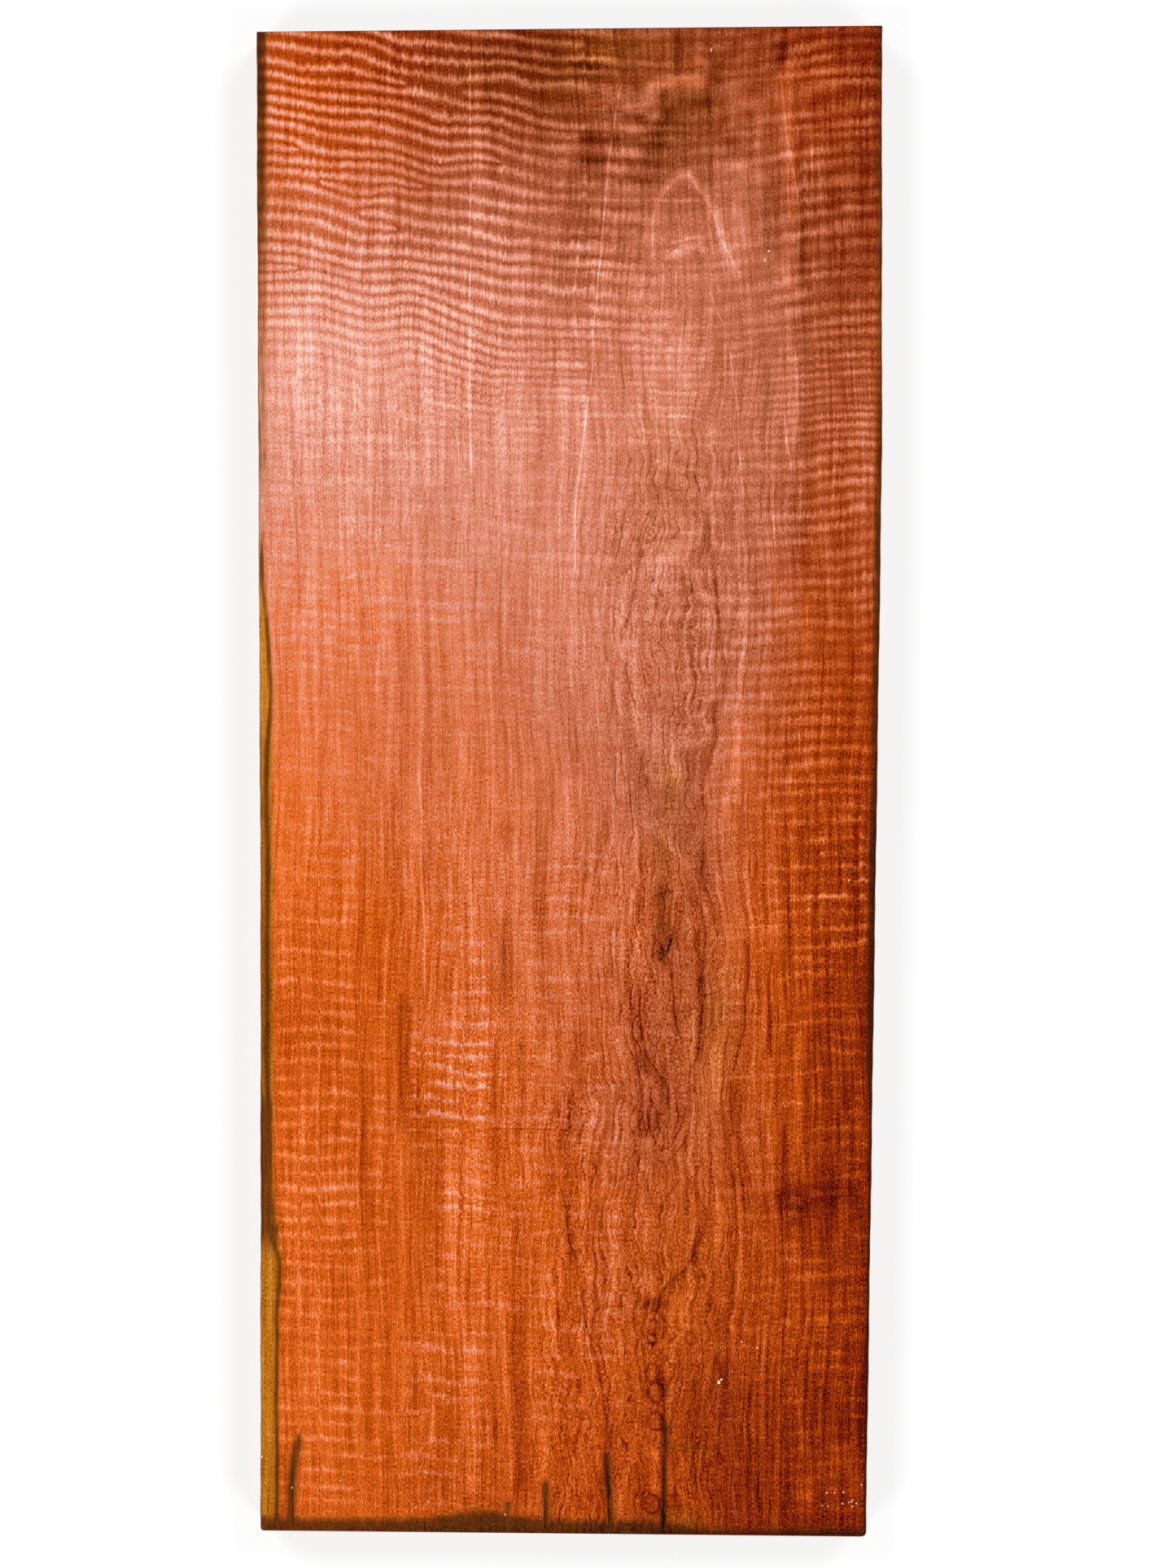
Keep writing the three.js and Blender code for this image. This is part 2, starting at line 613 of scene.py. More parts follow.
@dataclass(frozen=True)
class Log:
    """The trunk that the board came out of: where its heart runs and how its rings lie."""

    heart_x: float = 118.0
    heart_lean: float = 0.022
    heart_sway: float = 6.0
    heart_depth: float = 73.0
    depth_sway: float = 12.0
    eye_y: float = 178.0
    eye_spacing: float = 390.0

    def heart(self, y: Array) -> Array:
        """Where the heart runs across the board, at each place along it."""
        return self.heart_x + self.heart_lean * y + self.heart_sway * np.sin(2 * np.pi * y / 330.0)

    def rings(self, x: Array, y: Array, z: Array, board: Board) -> Array:
        """Distance of each place from the heart of the log."""
        depth = self.heart_depth - self.depth_sway * np.cos(2 * np.pi * (y - self.eye_y) / self.eye_spacing)
        return np.hypot(x - self.heart(y), board.thickness - depth - z)

    def fibre(self, x: Array, y: Array) -> Array:
        """Follows the fibres, which swing out round the eyes in the heart.

        Args:
            x: Places across the board.
            y: Places along it.

        Returns:
            Where the fibre through each place would lie if it ran straight.
        """
        side = (x - self.heart(y)) / 70.0
        swing = 5.0 * np.cos(2 * np.pi * (y - self.eye_y) / self.eye_spacing)
        round_eyes = swing * 1.65 * side * np.exp(-(side**2) / 2)
        slow = 4.0 * np.sin(2 * np.pi * y / 900.0 + x / 130.0)
        quick = 1.5 * np.sin(2 * np.pi * y / 270.0 + x / 45.0)
        return x - round_eyes + slow + quick

    def wild(self, x: Array, y: Array) -> Array:
        """How wild the grain grows: 1 over the heart and 0 far from it.

        Args:
            x: Places across the board.
            y: Places along it.

        Returns:
            A share from 0 to 1.
        """
        heart = hump(x, self.heart(y), 95.0) * rise(y, 620.0, 300.0)
        beside = hump(x, 20.0, 70.0) * rise(y, -250.0, -450.0)
        return np.clip(np.maximum(heart, beside) + 0.12, 0.0, 1.0)


@dataclass(frozen=True)
class Fork:
    """A place where a stripe of the curl begins or, with a turn of -1, ends."""

    place: Point2
    turn: int


@dataclass(frozen=True)
class Eye:
    """A small eye in the grain, ringed by dark lines."""

    place: Point2
    across: float
    along: float
    rings: int
    power: float


EYES = tuple(
    Eye(traced(place)[0], across, along, rings, power)
    for place, across, along, rings, power in (
        ((804, 1629), 14, 19, 2, 0.9),
        ((801, 1686), 7, 12, 1, 0.9),
        ((805, 1713), 8, 13, 1, 1.0),
        ((806, 1746), 8, 11, 1, 0.9),
        ((854, 1693), 9, 9, 1, 0.5),
        ((848, 1646), 7, 9, 1, 0.6),
        ((836, 1660), 6, 8, 1, 0.35),
        ((840, 1834), 13, 17, 2, 0.4),
        ((801, 1851), 9, 10, 1, 0.8),
        ((812, 1350), 9, 22, 1, 0.6),
    )
)


CRESTS = tuple(
    traced(*paired(*numbers))
    for numbers in (
        (330, 34, 370, 41, 395, 44, 425, 47, 455, 52, 470, 59, 480, 63, 500, 71, 520, 75, 560, 76, 590, 77,
         620, 76, 640, 81, 655, 84, 690, 90),
        (330, 18, 440, 34, 480, 47, 500, 53, 520, 52, 545, 57, 590, 62, 620, 63, 650, 67, 690, 72),
        (330, 0, 540, 34, 575, 42, 600, 42, 625, 43, 640, 47, 655, 51, 690, 55),
        (330, 54, 360, 57, 400, 65, 430, 65, 445, 68, 460, 77, 480, 84, 500, 89, 520, 91, 545, 96, 562, 99,
         600, 96, 630, 95, 645, 102, 660, 105, 690, 103),
        (330, 75, 345, 76, 362, 82, 400, 84, 430, 84, 440, 88, 450, 93, 475, 98, 497, 104),
        (568, 114, 585, 117, 600, 117, 620, 120, 635, 124, 650, 129, 665, 134, 690, 136),
        (330, 90, 345, 92, 360, 97, 400, 102, 440, 106, 460, 107, 480, 112, 520, 114, 545, 121, 560, 128,
         580, 133, 600, 132, 615, 133, 635, 138, 650, 145, 670, 151, 690, 156),
        (330, 106, 355, 109, 380, 115, 400, 117, 440, 121, 480, 125, 500, 130, 515, 136, 530, 141, 545, 147,
         560, 147, 590, 145, 610, 146, 625, 151, 640, 157, 690, 166),
        (330, 121, 360, 124, 380, 128, 400, 134, 445, 135, 480, 140, 500, 146, 520, 153, 540, 161, 580, 159,
         600, 161, 615, 166, 628, 174, 640, 177, 690, 183),
        (330, 134, 345, 137, 365, 142, 400, 150, 430, 153, 445, 151, 475, 156, 500, 163, 525, 173, 545, 178,
         590, 177, 605, 180, 630, 190, 640, 192, 660, 198, 690, 202),
        (330, 150, 360, 154, 380, 160, 400, 167, 440, 172, 480, 178, 500, 185, 520, 192, 540, 197, 560, 194,
         590, 192, 613, 200),
        (330, 166, 345, 168, 355, 171, 370, 177, 385, 183, 400, 188, 412, 190, 480, 191, 500, 198, 515, 203,
         530, 209, 545, 208, 575, 204, 590, 203, 620, 209, 640, 215, 690, 228),
        (330, 179, 350, 181, 366, 183),
        (330, 194, 360, 197, 400, 202, 460, 203, 480, 206, 515, 216, 530, 221, 545, 223, 590, 222, 600, 225,
         615, 229, 640, 237, 690, 243),
        (330, 210, 360, 212, 400, 216, 440, 218, 480, 221, 505, 227, 519, 231),
        (393, 223, 415, 229, 425, 234, 440, 238, 455, 236, 470, 233, 485, 231, 500, 236, 515, 239, 560, 239,
         580, 242, 600, 248, 640, 256, 690, 259),
        (330, 227, 360, 228, 375, 230, 390, 234, 410, 240, 425, 246, 440, 252, 455, 248, 470, 247, 485, 249,
         500, 253, 530, 260, 580, 264, 610, 271, 640, 276, 690, 284),
        (441, 262, 460, 263, 480, 266, 500, 271, 530, 276, 560, 282, 575, 281, 585, 285, 600, 291, 615, 296,
         660, 299, 690, 304),
        (330, 247, 355, 249, 370, 252, 400, 257, 425, 266, 440, 272, 455, 277, 487, 281),
        (330, 266, 360, 266, 390, 270, 405, 277, 425, 286, 445, 294, 475, 291, 500, 291, 530, 297, 560, 303,
         575, 308, 600, 311, 620, 317, 660, 317, 690, 325),
        (330, 287, 360, 289, 385, 297, 400, 300, 440, 307, 500, 311, 530, 317, 560, 319, 600, 327, 620, 331,
         660, 331, 690, 338),
        (330, 303, 355, 305, 385, 311, 405, 316, 425, 323, 445, 328, 460, 325, 480, 323, 500, 324, 530, 330,
         575, 337, 600, 343, 620, 350, 660, 350, 690, 358),
        (330, 316, 360, 319, 390, 326, 410, 331, 430, 338, 440, 341, 480, 339, 500, 338, 515, 341, 545, 349,
         560, 352, 580, 358, 600, 364, 620, 370, 660, 371, 690, 378),
        (330, 329, 350, 329, 366, 329),
        (330, 341, 360, 338, 380, 338, 395, 340, 410, 344, 430, 351, 460, 357, 480, 354, 500, 352, 515, 355,
         530, 360, 545, 367, 580, 380, 600, 386, 620, 392, 660, 393, 690, 398),
        (330, 353, 380, 353, 400, 355, 420, 362, 440, 368, 460, 371, 480, 368, 500, 364, 515, 367, 545, 380,
         560, 387, 580, 393, 600, 401, 620, 408, 690, 410),
    )
)
FORKS = tuple(
    Fork(traced(place)[0], turn)
    for place, turn in (
        ((497, 104), -1),
        ((568, 114), 1),
        ((613, 200), -1),
        ((366, 183), -1),
        ((519, 231), -1),
        ((393, 223), 1),
        ((441, 262), 1),
        ((487, 281), -1),
        ((366, 329), -1),
    )
)


@dataclass(frozen=True)
class Curl:
    """The ripple of the fibres, which shows as bright stripes across the board.

    The stripes at the left of the head are traced, with the forks where one begins or ends. Below them the
    stripes follow one another at the pitches given.
    """

    crests: tuple[tuple[Point2, ...], ...] = CRESTS
    forks: tuple[Fork, ...] = FORKS
    head_pitch: float = 16.0
    pitches: tuple[Point2, ...] = ((-919, 19), (-120, 19), (40, 17.5), (300, 16.5), (450, 15), (620, 14.5))
    mesh: Point2 = (4.0, 3.0)
    meeting: Point2 = (-190.0, 560.0)
    lean: float = 0.05
    usual_pitch: float = 15.0
    faint: tuple[Patch, ...] = laid(
        (-290, 450, 130, 110, 12), (-270, 210, 130, 170, 7), (-70, 330, 130, 230, 6), (120, 300, 70, 190, 8),
        (205, 180, 60, 260, 15), (345, 400, 45, 190, 14), (-293, -110, 45, 70, 11),
    )
    strips: tuple[Panel, ...] = (
        Panel(-355, -262, -880, -170, 22),
        Panel(-262, -250, -880, -230, 12),
        Panel(-244, -219, -880, -230, 11),
        Panel(-153, -98, -300, -160, 15),
        Panel(-192, -98, -440, -300, 24),
        Panel(-162, -98, -640, -480, 17),
        Panel(-205, -98, -870, -650, 12),
        Panel(-98, -54, -680, -290, 9),
        Panel(-45, 60, -780, -90, 9),
        Panel(262, 365, -880, -100, 11),
        Panel(180, 262, -700, -100, 5),
    )

    def _column(self, x: float, rows: Array) -> Array:
        """Stripes counted down one column from the first crest of the list, at each row.

        Args:
            x: The column's place across the board.
            rows: Places along it.

        Returns:
            The count at each row.
        """
        heights = [np.interp(x, *np.array(line).T) for line in self.crests if line[0][0] <= x <= line[-1][0]]
        first = sum(height > heights[0] for height in heights)
        heights.sort(reverse=True)
        above = [heights[0] + self.head_pitch * step for step in (3, 2, 1)]
        below, reached = [], heights[-1]
        while reached > rows[0]:
            reached -= float(np.interp(reached, *np.array(self.pitches, float).T))
            below.append(reached)
        places = np.array([*above, *heights, *below])
        return np.interp(-rows, -places, np.arange(len(places)) - first - len(above))

    def _plain(self, x: Array, y: Array) -> Array:
        """Counts the stripes down the board where none is traced.

        Args:
            x: Places across the board.
            y: Places along it.

        Returns:
            The count at each place.
        """
        heights = np.arange(self.meeting[1], -960.0, -1.0)
        counts = np.cumsum(1.0 / np.interp(heights, *np.array(self.pitches, float).T))
        fallen = self.lean * (np.minimum(x, 130.0) - self.meeting[0]) - 14.0 * rise(x, 130.0, 370.0)
        fallen = fallen + 2.5 * np.sin(x / 47.0 + y / 160.0) + 1.5 * np.sin(x / 19.0 + y / 70.0)
        return np.interp(-(y + fallen), -heights, counts)

    def _winding(self, x: Array, y: Array) -> Array:
        """Turns that the forks add together, which the finishes add again."""
        return sum(f.turn * np.arctan2(x - f.place[0], y - f.place[1]) for f in self.forks) / (2 * np.pi)

    def _maps(self) -> tuple[Array, Array, Array, Array]:
        """Lays the stripes out on a grid of columns and rows.

        Returns:
            The columns, the rows, the count without the forks' winding, and the pitch.
        """
        ends = [line[side][0] for line in self.crests for side in (0, -1)]
        columns = np.arange(min(ends) + 0.01, max(ends), self.mesh[0])
        rows = np.arange(-930.0, 930.0, self.mesh[1])
        counted = np.stack([self._column(x, rows) for x in columns], axis=1)
        pitch = 1.0 / np.maximum(-np.gradient(counted, self.mesh[1], axis=0), 0.03)
        smooth = counted - self._winding(*np.meshgrid(columns, rows))
        for _ in range(4):
            smooth = self._soften(smooth)
            pitch = self._soften(self._soften(pitch).T).T
        return columns, rows, smooth, pitch

    @staticmethod
    def _soften(values: Array) -> Array:
        """Running mean over three columns."""
        wide = np.pad(values, ((0, 0), (1, 1)), mode="edge")
        return (wide[:, :-2] + wide[:, 1:-1] + wide[:, 2:]) / 3

    @staticmethod
    def _sample(grid: Array, columns: Array, rows: Array, x: Array, y: Array) -> Array:
        """Values between the points of a grid.

        Args:
            grid: The values, in rows.
            columns: Where the columns lie across the board.
            rows: Where the rows lie along it.
            x: Places across the board.
            y: Places along it.

        Returns:
            The value at each place.
        """
        i = np.clip((x - columns[0]) / (columns[1] - columns[0]), 0.0, len(columns) - 1.001)
        j = np.clip((y - rows[0]) / (rows[1] - rows[0]), 0.0, len(rows) - 1.001)
        left, low = i.astype(int), j.astype(int)
        near = blend(grid[low, left], grid[low, left + 1], i - left)
        far = blend(grid[low + 1, left], grid[low + 1, left + 1], i - left)
        return blend(near, far, j - low)

    def stripes(self, x: Array, y: Array) -> tuple[Array, Array]:
        """Counts the stripes.

        Args:
            x: Places across the board.
            y: Places along it.

        Returns:
            Their number between the head and each place, less the forks' winding, and their pitch there.
        """
        columns, rows, smooth, pitch = self._maps()
        inner = np.clip(x, columns[0], columns[-1])
        fallen = 6.0 * rise(x, 0.0, 85.0) - 26.0 * rise(x, 130.0, 370.0)
        head_count = self._sample(smooth, columns, rows, inner, y) + self._winding(inner, y)
        head_count -= fallen / self.head_pitch
        at = [np.array([value]) for value in self.meeting]
        start = self._sample(smooth, columns, rows, *at) + self._winding(*at)
        count = blend(head_count, self._plain(x, y) + start, rise(y, 535.0, 400.0))
        return count - self._winding(x, y), self._sample(pitch, columns, rows, inner, y)

    def power(self, x: Array, y: Array) -> Array:
        """Swing in lightness from stripe to stripe.

        Args:
            x: Places across the board.
            y: Places along it.

        Returns:
            The swing, in steps of lightness from 0 to 255.
        """
        fade = blend(450.0, 380.0, rise(x, -250.0, -110.0))
        head = rise(y, fade, fade + 190.0) * blend(1.0, 0.58, rise(x, -100.0, 5.0)) * rise(x, 80.0, -10.0)
        head *= blend(0.84, 1.1, rise(y, 700.0, 850.0)) * blend(1.0, 1.04, rise(x, -165.0, -90.0))
        head *= 1.0 - 0.2 * rise(x, -150.0, -70.0) * rise(y, 640.0, 570.0)
        heart = rise(x, -40.0, 20.0) * rise(y, 380.0, 520.0) * blend(1.0, 0.7, rise(y, 780.0, 850.0))
        heart *= 1.0 - 0.62 * hump(x, 175.0, 90.0) * rise(y, 800.0, 700.0)
        right = rise(x, 200.0, 290.0) * rise(y, -280.0, -60.0) * blend(1.0, 1.5, rise(y, 480.0, 600.0))
        faint, lower = patches(x, y, self.faint), panels(x, y, self.strips)
        return 4.0 + 66.0 * head + np.maximum(22.0 * heart, 24.0 * right) + faint + lower

    def sharp(self, x: Array, y: Array, pitch: Array) -> Array:
        """How narrow the bright stripes are.

        Args:
            x: Places across the board.
            y: Places along it.
            pitch: The gap from stripe to stripe.

        Returns:
            How narrow they are: at 1 the bright ones are as wide as the dark ones.
        """
        left = 0.75 + 0.25 * rise(y, 600.0, 720.0) + 0.2 * rise(y, 780.0, 880.0)
        wide = 0.12 * np.clip(pitch - self.usual_pitch, -2.0, 8.0) * rise(y, 480.0, 560.0)
        broad = 0.35 * hump(x, 50.0, 70.0) * rise(y, 380.0, 480.0)
        upper = blend(left + wide, 1.0, rise(x, 0.0, 60.0)) - broad
        farther = rise(x, 120.0, 240.0)
        return blend(upper, 3.2, rise(y, blend(250.0, 60.0, farther), blend(40.0, -120.0, farther)))

    @staticmethod
    def loose(x: Array, y: Array) -> Array:
        """How irregular the stripes are.

        Args:
            x: Places across the board.
            y: Places along it.

        Returns:
            A share from 0 to 1.
        """
        steady = rise(y, 380.0, 520.0) * rise(x, 40.0, -60.0)
        upper = blend(blend(0.7, 0.5, rise(x, 180.0, 260.0)), 0.2, steady)
        return blend(upper, blend(0.55, 0.9, rise(x, -270.0, -230.0)), rise(y, 60.0, -120.0))

    @staticmethod
    def rest(power: Array, sharp: Array) -> Array:
        """Lightness that stripes of a power and sharpness add on average."""
        return power / np.sqrt(np.pi * (sharp + 0.27))


STREAKS = streaks_through(
    (7, 28, 800, 108, 830, 100, 866, 97), (6, 26, 768, 135, 803, 129),
    (5, 24, 822, 226, 838, 214, 854, 224), (5, 12, 886, 216, 926, 212),
    (6, -30, 828, 1146, 822, 1156, 817, 1168, 811, 1176), (4, -28, 811, 1176, 817, 1188),
    (5, -14, 836, 1152, 831, 1166), (6, -26, 794, 1600, 816, 1602), (4, 16, 902, 262, 912, 262, 915, 300),
    (5, 16, 962, 88, 1000, 92, 1030, 84), (4, 42, 822, 314, 836, 306, 860, 300),
    (3, -26, 940, 232, 941, 270, 942, 306), (8, -30, 958, 55, 959, 80), (5, -24, 831, 44, 835, 66, 832, 92),
    (10, -22, 877, 80, 878, 112), (7, -30, 816, 117, 838, 122, 866, 124),
    (11, -25, 820, 138, 810, 160, 806, 184), (8, -26, 901, 168, 901, 192), (2.5, 22, 890, 164, 911, 164),
    (3, 22, 931, 134, 932, 184), (2.5, 22, 977, 162, 998, 161, 998, 200), (2.5, 24, 961, 189, 998, 188),
    (5, 16, 912, 236, 905, 248, 912, 275), (4, -20, 896, 214, 908, 220), (5, -20, 855, 306, 862, 322),
    (4, -18, 985, 240, 987, 345), (4, -26, 748, 140, 788, 142), (4, -26, 717, 170, 783, 173),
    (4, -24, 716, 196, 792, 197), (4, -24, 730, 216, 788, 222), (4, -24, 712, 256, 784, 258),
    (4, -22, 712, 273, 788, 276), (4, -22, 706, 290, 786, 290), (4, -20, 700, 317, 785, 320),
    (6, -20, 718, 169, 815, 176), (6, -23, 738, 138, 792, 146), (9, -19, 716, 84, 760, 93),
    (9, -12, 781, 50, 783, 100), (8, -14, 836, 54, 868, 58), (8, -19, 716, 198, 746, 198),
    (6, -19, 770, 203, 818, 205), (7, -19, 772, 218, 800, 224), (3, -14, 872, 118, 873, 228),
    (6, 32, 800, 104, 835, 97, 862, 103), (5, 28, 768, 131, 790, 134),
    (4, 26, 800, 152, 806, 139, 820, 130), (6, 25, 737, 153, 786, 160), (4, 27, 724, 125, 752, 128),
    (8, 24, 702, 168, 699, 200), (7, 30, 856, 74, 871, 82), (7, 24, 728, 68, 748, 74),
    (7, 16, 692, 54, 712, 62), (4, 14, 700, 102, 762, 106), (4, 12, 760, 184, 820, 188),
    (5, 16, 730, 210, 765, 214), (5, -24, 861, 1516, 854, 1534, 847, 1549, 840, 1564, 828, 1574, 814, 1587),
    (6, -14, 794, 1549, 805, 1557), (8, -30, 796, 1601, 811, 1602), (3, -14, 802, 1533, 814, 1546),
    (5, -20, 812, 1676, 811, 1697), (8, -16, 884, 1672, 890, 1692), (4, -20, 870, 1594, 872, 1602),
    (3, -24, 759, 1598, 759, 1602), (9, 27, 967, 80, 966, 140, 970, 200, 976, 250, 972, 300, 967, 350),
    (9, 24, 905, 200, 924, 215), (8, 14, 905, 122, 930, 128),
    (5, 24, 845, 214, 820, 230, 806, 245, 801, 290, 803, 320),
    (5, 30, 845, 214, 868, 240, 882, 272, 890, 302, 903, 330), (4, -19, 986, 150, 988, 380, 985, 560),
    (3, 14, 999, 280, 1000, 420), (7, 24, 957, 325, 974, 352), (5, 13, 586, 39, 587, 275),
    (4, 12, 616, 68, 616, 218), (7, -14, 668, 40, 668, 130), (9, 22, 840, 420, 843, 472),
    (3, 12, 961, 400, 962, 500, 968, 560), (4, 18, 970, 400, 972, 480, 976, 545),
    (3, 14, 978, 440, 981, 530), (5, -18, 941, 450, 943, 512),
    (6, 15, 951, 575, 952, 640, 948, 680, 955, 730, 961, 770), (5, -13, 974, 600, 977, 700),
    (4, -10, 987, 640, 988, 692), (5, 18, 991, 738, 990, 795), (5, 9, 1006, 560, 1004, 690),
    (4, -16, 788, 655, 786, 700, 778, 732, 772, 765), (3, -10, 825, 585, 824, 622),
    (3, -12, 807, 600, 806, 632), (4, -16, 867, 640, 873, 682), (8, 15, 815, 683, 812, 712),
    (7, 17, 829, 515, 832, 540), (7, -17, 843, 716, 853, 738), (4, -13, 810, 727, 809, 745),
    (4, 11, 713, 762, 703, 800, 703, 852), (4, -17, 753, 830, 752, 882), (4, 10, 760, 828, 759, 850),
    (5, -13, 890, 818, 892, 848), (4, -12, 868, 800, 869, 842), (4, 14, 912, 740, 911, 885),
    (7, 19, 697, 960, 695, 1042), (4, -17, 708, 898, 709, 952), (9, 21, 908, 895, 905, 960),
    (5, 16, 900, 965, 890, 992, 882, 1022), (7, 20, 828, 918, 832, 962), (5, -19, 794, 930, 793, 962),
    (6, -17, 804, 975, 810, 1050, 812, 1098), (12, -27, 813, 1097, 811, 1168),
    (6, -23, 862, 1040, 866, 1092), (8, 18, 724, 1090, 724, 1130), (6, -15, 750, 1140, 750, 1202),
    (6, 16, 786, 1148, 784, 1182), (4, 9, 764, 1000, 764, 1200), (8, 22, 846, 1132, 842, 1160),
    (4, -17, 863, 1178, 866, 1232, 860, 1270, 860, 1302), (6, 21, 850, 1250, 848, 1290, 844, 1312),
    (4, -16, 783, 1250, 787, 1290, 794, 1320), (5, -19, 817, 1310, 816, 1352),
    (6, -17, 807, 1360, 809, 1382), (3, 11, 899, 980, 900, 1060, 897, 1150), (4, -14, 915, 1000, 915, 1032),
    (4, -16, 918, 1150, 919, 1212), (5, 17, 976, 940, 974, 1060, 978, 1120, 981, 1200),
    (8, 20, 982, 1215, 982, 1300, 983, 1380, 985, 1448), (4, -17, 966, 898, 966, 942),
    (4, -14, 949, 1048, 949, 1122), (7, -9, 964, 1110, 966, 1182), (4, 9, 941, 1230, 941, 1382),
    (4, -14, 947, 1240, 948, 1292), (7, 16, 884, 1300, 882, 1352), (3, 14, 701, 1180, 700, 1272),
    (4, -14, 709, 1268, 708, 1302), (4, -11, 1018, 1160, 1018, 1322),
    (7, 22, 980, 1510, 981, 1600, 977, 1700, 980, 1742, 990, 1792, 994, 1842),
    (16, -18, 962, 1475, 1036, 1470), (7, 14, 953, 1378, 951, 1420), (6, 19, 882, 1480, 881, 1532),
    (8, 11, 920, 1490, 924, 1522), (8, 11, 909, 1540, 910, 1582), (5, -14, 799, 1630, 799, 1655),
    (5, 15, 723, 1545, 724, 1575), (5, -20, 734, 1480, 742, 1522),
    (4, -17, 735, 1640, 740, 1700, 748, 1742, 750, 1790), (5, 19, 740, 1702, 740, 1760, 736, 1802),
    (5, 14, 756, 1520, 757, 1620, 765, 1680, 763, 1742), (6, -22, 816, 1700, 816, 1850),
    (5, 19, 804, 1780, 806, 1832), (9, 13, 835, 1600, 837, 1652), (9, -14, 895, 1670, 890, 1742),
    (10, -13, 1012, 1572, 1040, 1578), (7, -12, 1022, 1430, 1024, 1482), (6, 11, 1010, 1590, 1012, 1662),
    (4, 12, 872, 1720, 873, 1802), (10, 13, 368, 390, 368, 500), (4, 8, 577, 400, 577, 560),
    (4, -13, 586, 430, 585, 520, 589, 640), (8, 9, 507, 560, 509, 660, 513, 780, 512, 900),
    (5, -14, 521, 600, 522, 700, 527, 900, 528, 955), (5, -11, 680, 400, 679, 560),
    (4, 7, 481, 640, 484, 740, 488, 822), (4, -7, 490, 760, 491, 872),
    (4, 7, 617, 510, 613, 570, 615, 640, 611, 735), (4, -9, 606, 620, 605, 762),
    (4, 8, 377, 880, 378, 1042), (6, 10, 418, 910, 421, 1020, 424, 1100, 427, 1200, 426, 1385),
    (3, 12, 531, 1140, 533, 1200, 530, 1260, 521, 1312, 518, 1352),
    (4, 9, 566, 900, 576, 960, 579, 1030, 579, 1122, 578, 1202), (8, 13, 508, 960, 506, 1032),
    (8, -13, 527, 1035, 528, 1082), (4, -10, 489, 1048, 491, 1102), (4, -10, 466, 1078, 468, 1152),
    (4, -12, 494, 1108, 495, 1235), (9, -16, 497, 1240, 497, 1385), (5, -19, 618, 1130, 618, 1242),
    (3, -9, 605, 1138, 604, 1305), (4, -12, 637, 1118, 637, 1242), (5, -18, 641, 1278, 642, 1385),
    (4, 14, 651, 1180, 652, 1262, 648, 1320, 648, 1450), (4, -10, 661, 958, 661, 1122),
    (4, -9, 659, 1270, 658, 1382), (3, 11, 676, 1248, 672, 1382), (5, -10, 444, 1090, 443, 1280, 447, 1382),
    (5, 8, 624, 1048, 624, 1152), (7, -6, 367, 1098, 367, 1222),
    (5, -17, 447, 1382, 450, 1460, 453, 1520, 450, 1600, 452, 1680, 453, 1765),
    (5, 12, 489, 1400, 494, 1480, 493, 1560, 496, 1640, 494, 1722),
    (8, 18, 555, 1445, 557, 1590, 561, 1645), (6, 14, 577, 1415, 578, 1480, 572, 1522, 573, 1565),
    (8, 18, 578, 1655, 578, 1760, 582, 1785, 578, 1825), (7, 15, 672, 1478, 672, 1622),
    (6, 19, 678, 1622, 679, 1742, 671, 1770, 670, 1802), (5, -21, 697, 1372, 700, 1480, 704, 1545),
    (6, -15, 637, 1475, 637, 1542), (6, -14, 640, 1598, 639, 1845), (5, -12, 609, 1638, 609, 1772),
    (4, 12, 410, 1448, 410, 1532), (3, 9, 409, 1668, 408, 1762), (5, -12, 429, 1738, 429, 1782),
    (5, 11, 685, 1538, 686, 1602), (4, 12, 548, 1640, 547, 1705),
)


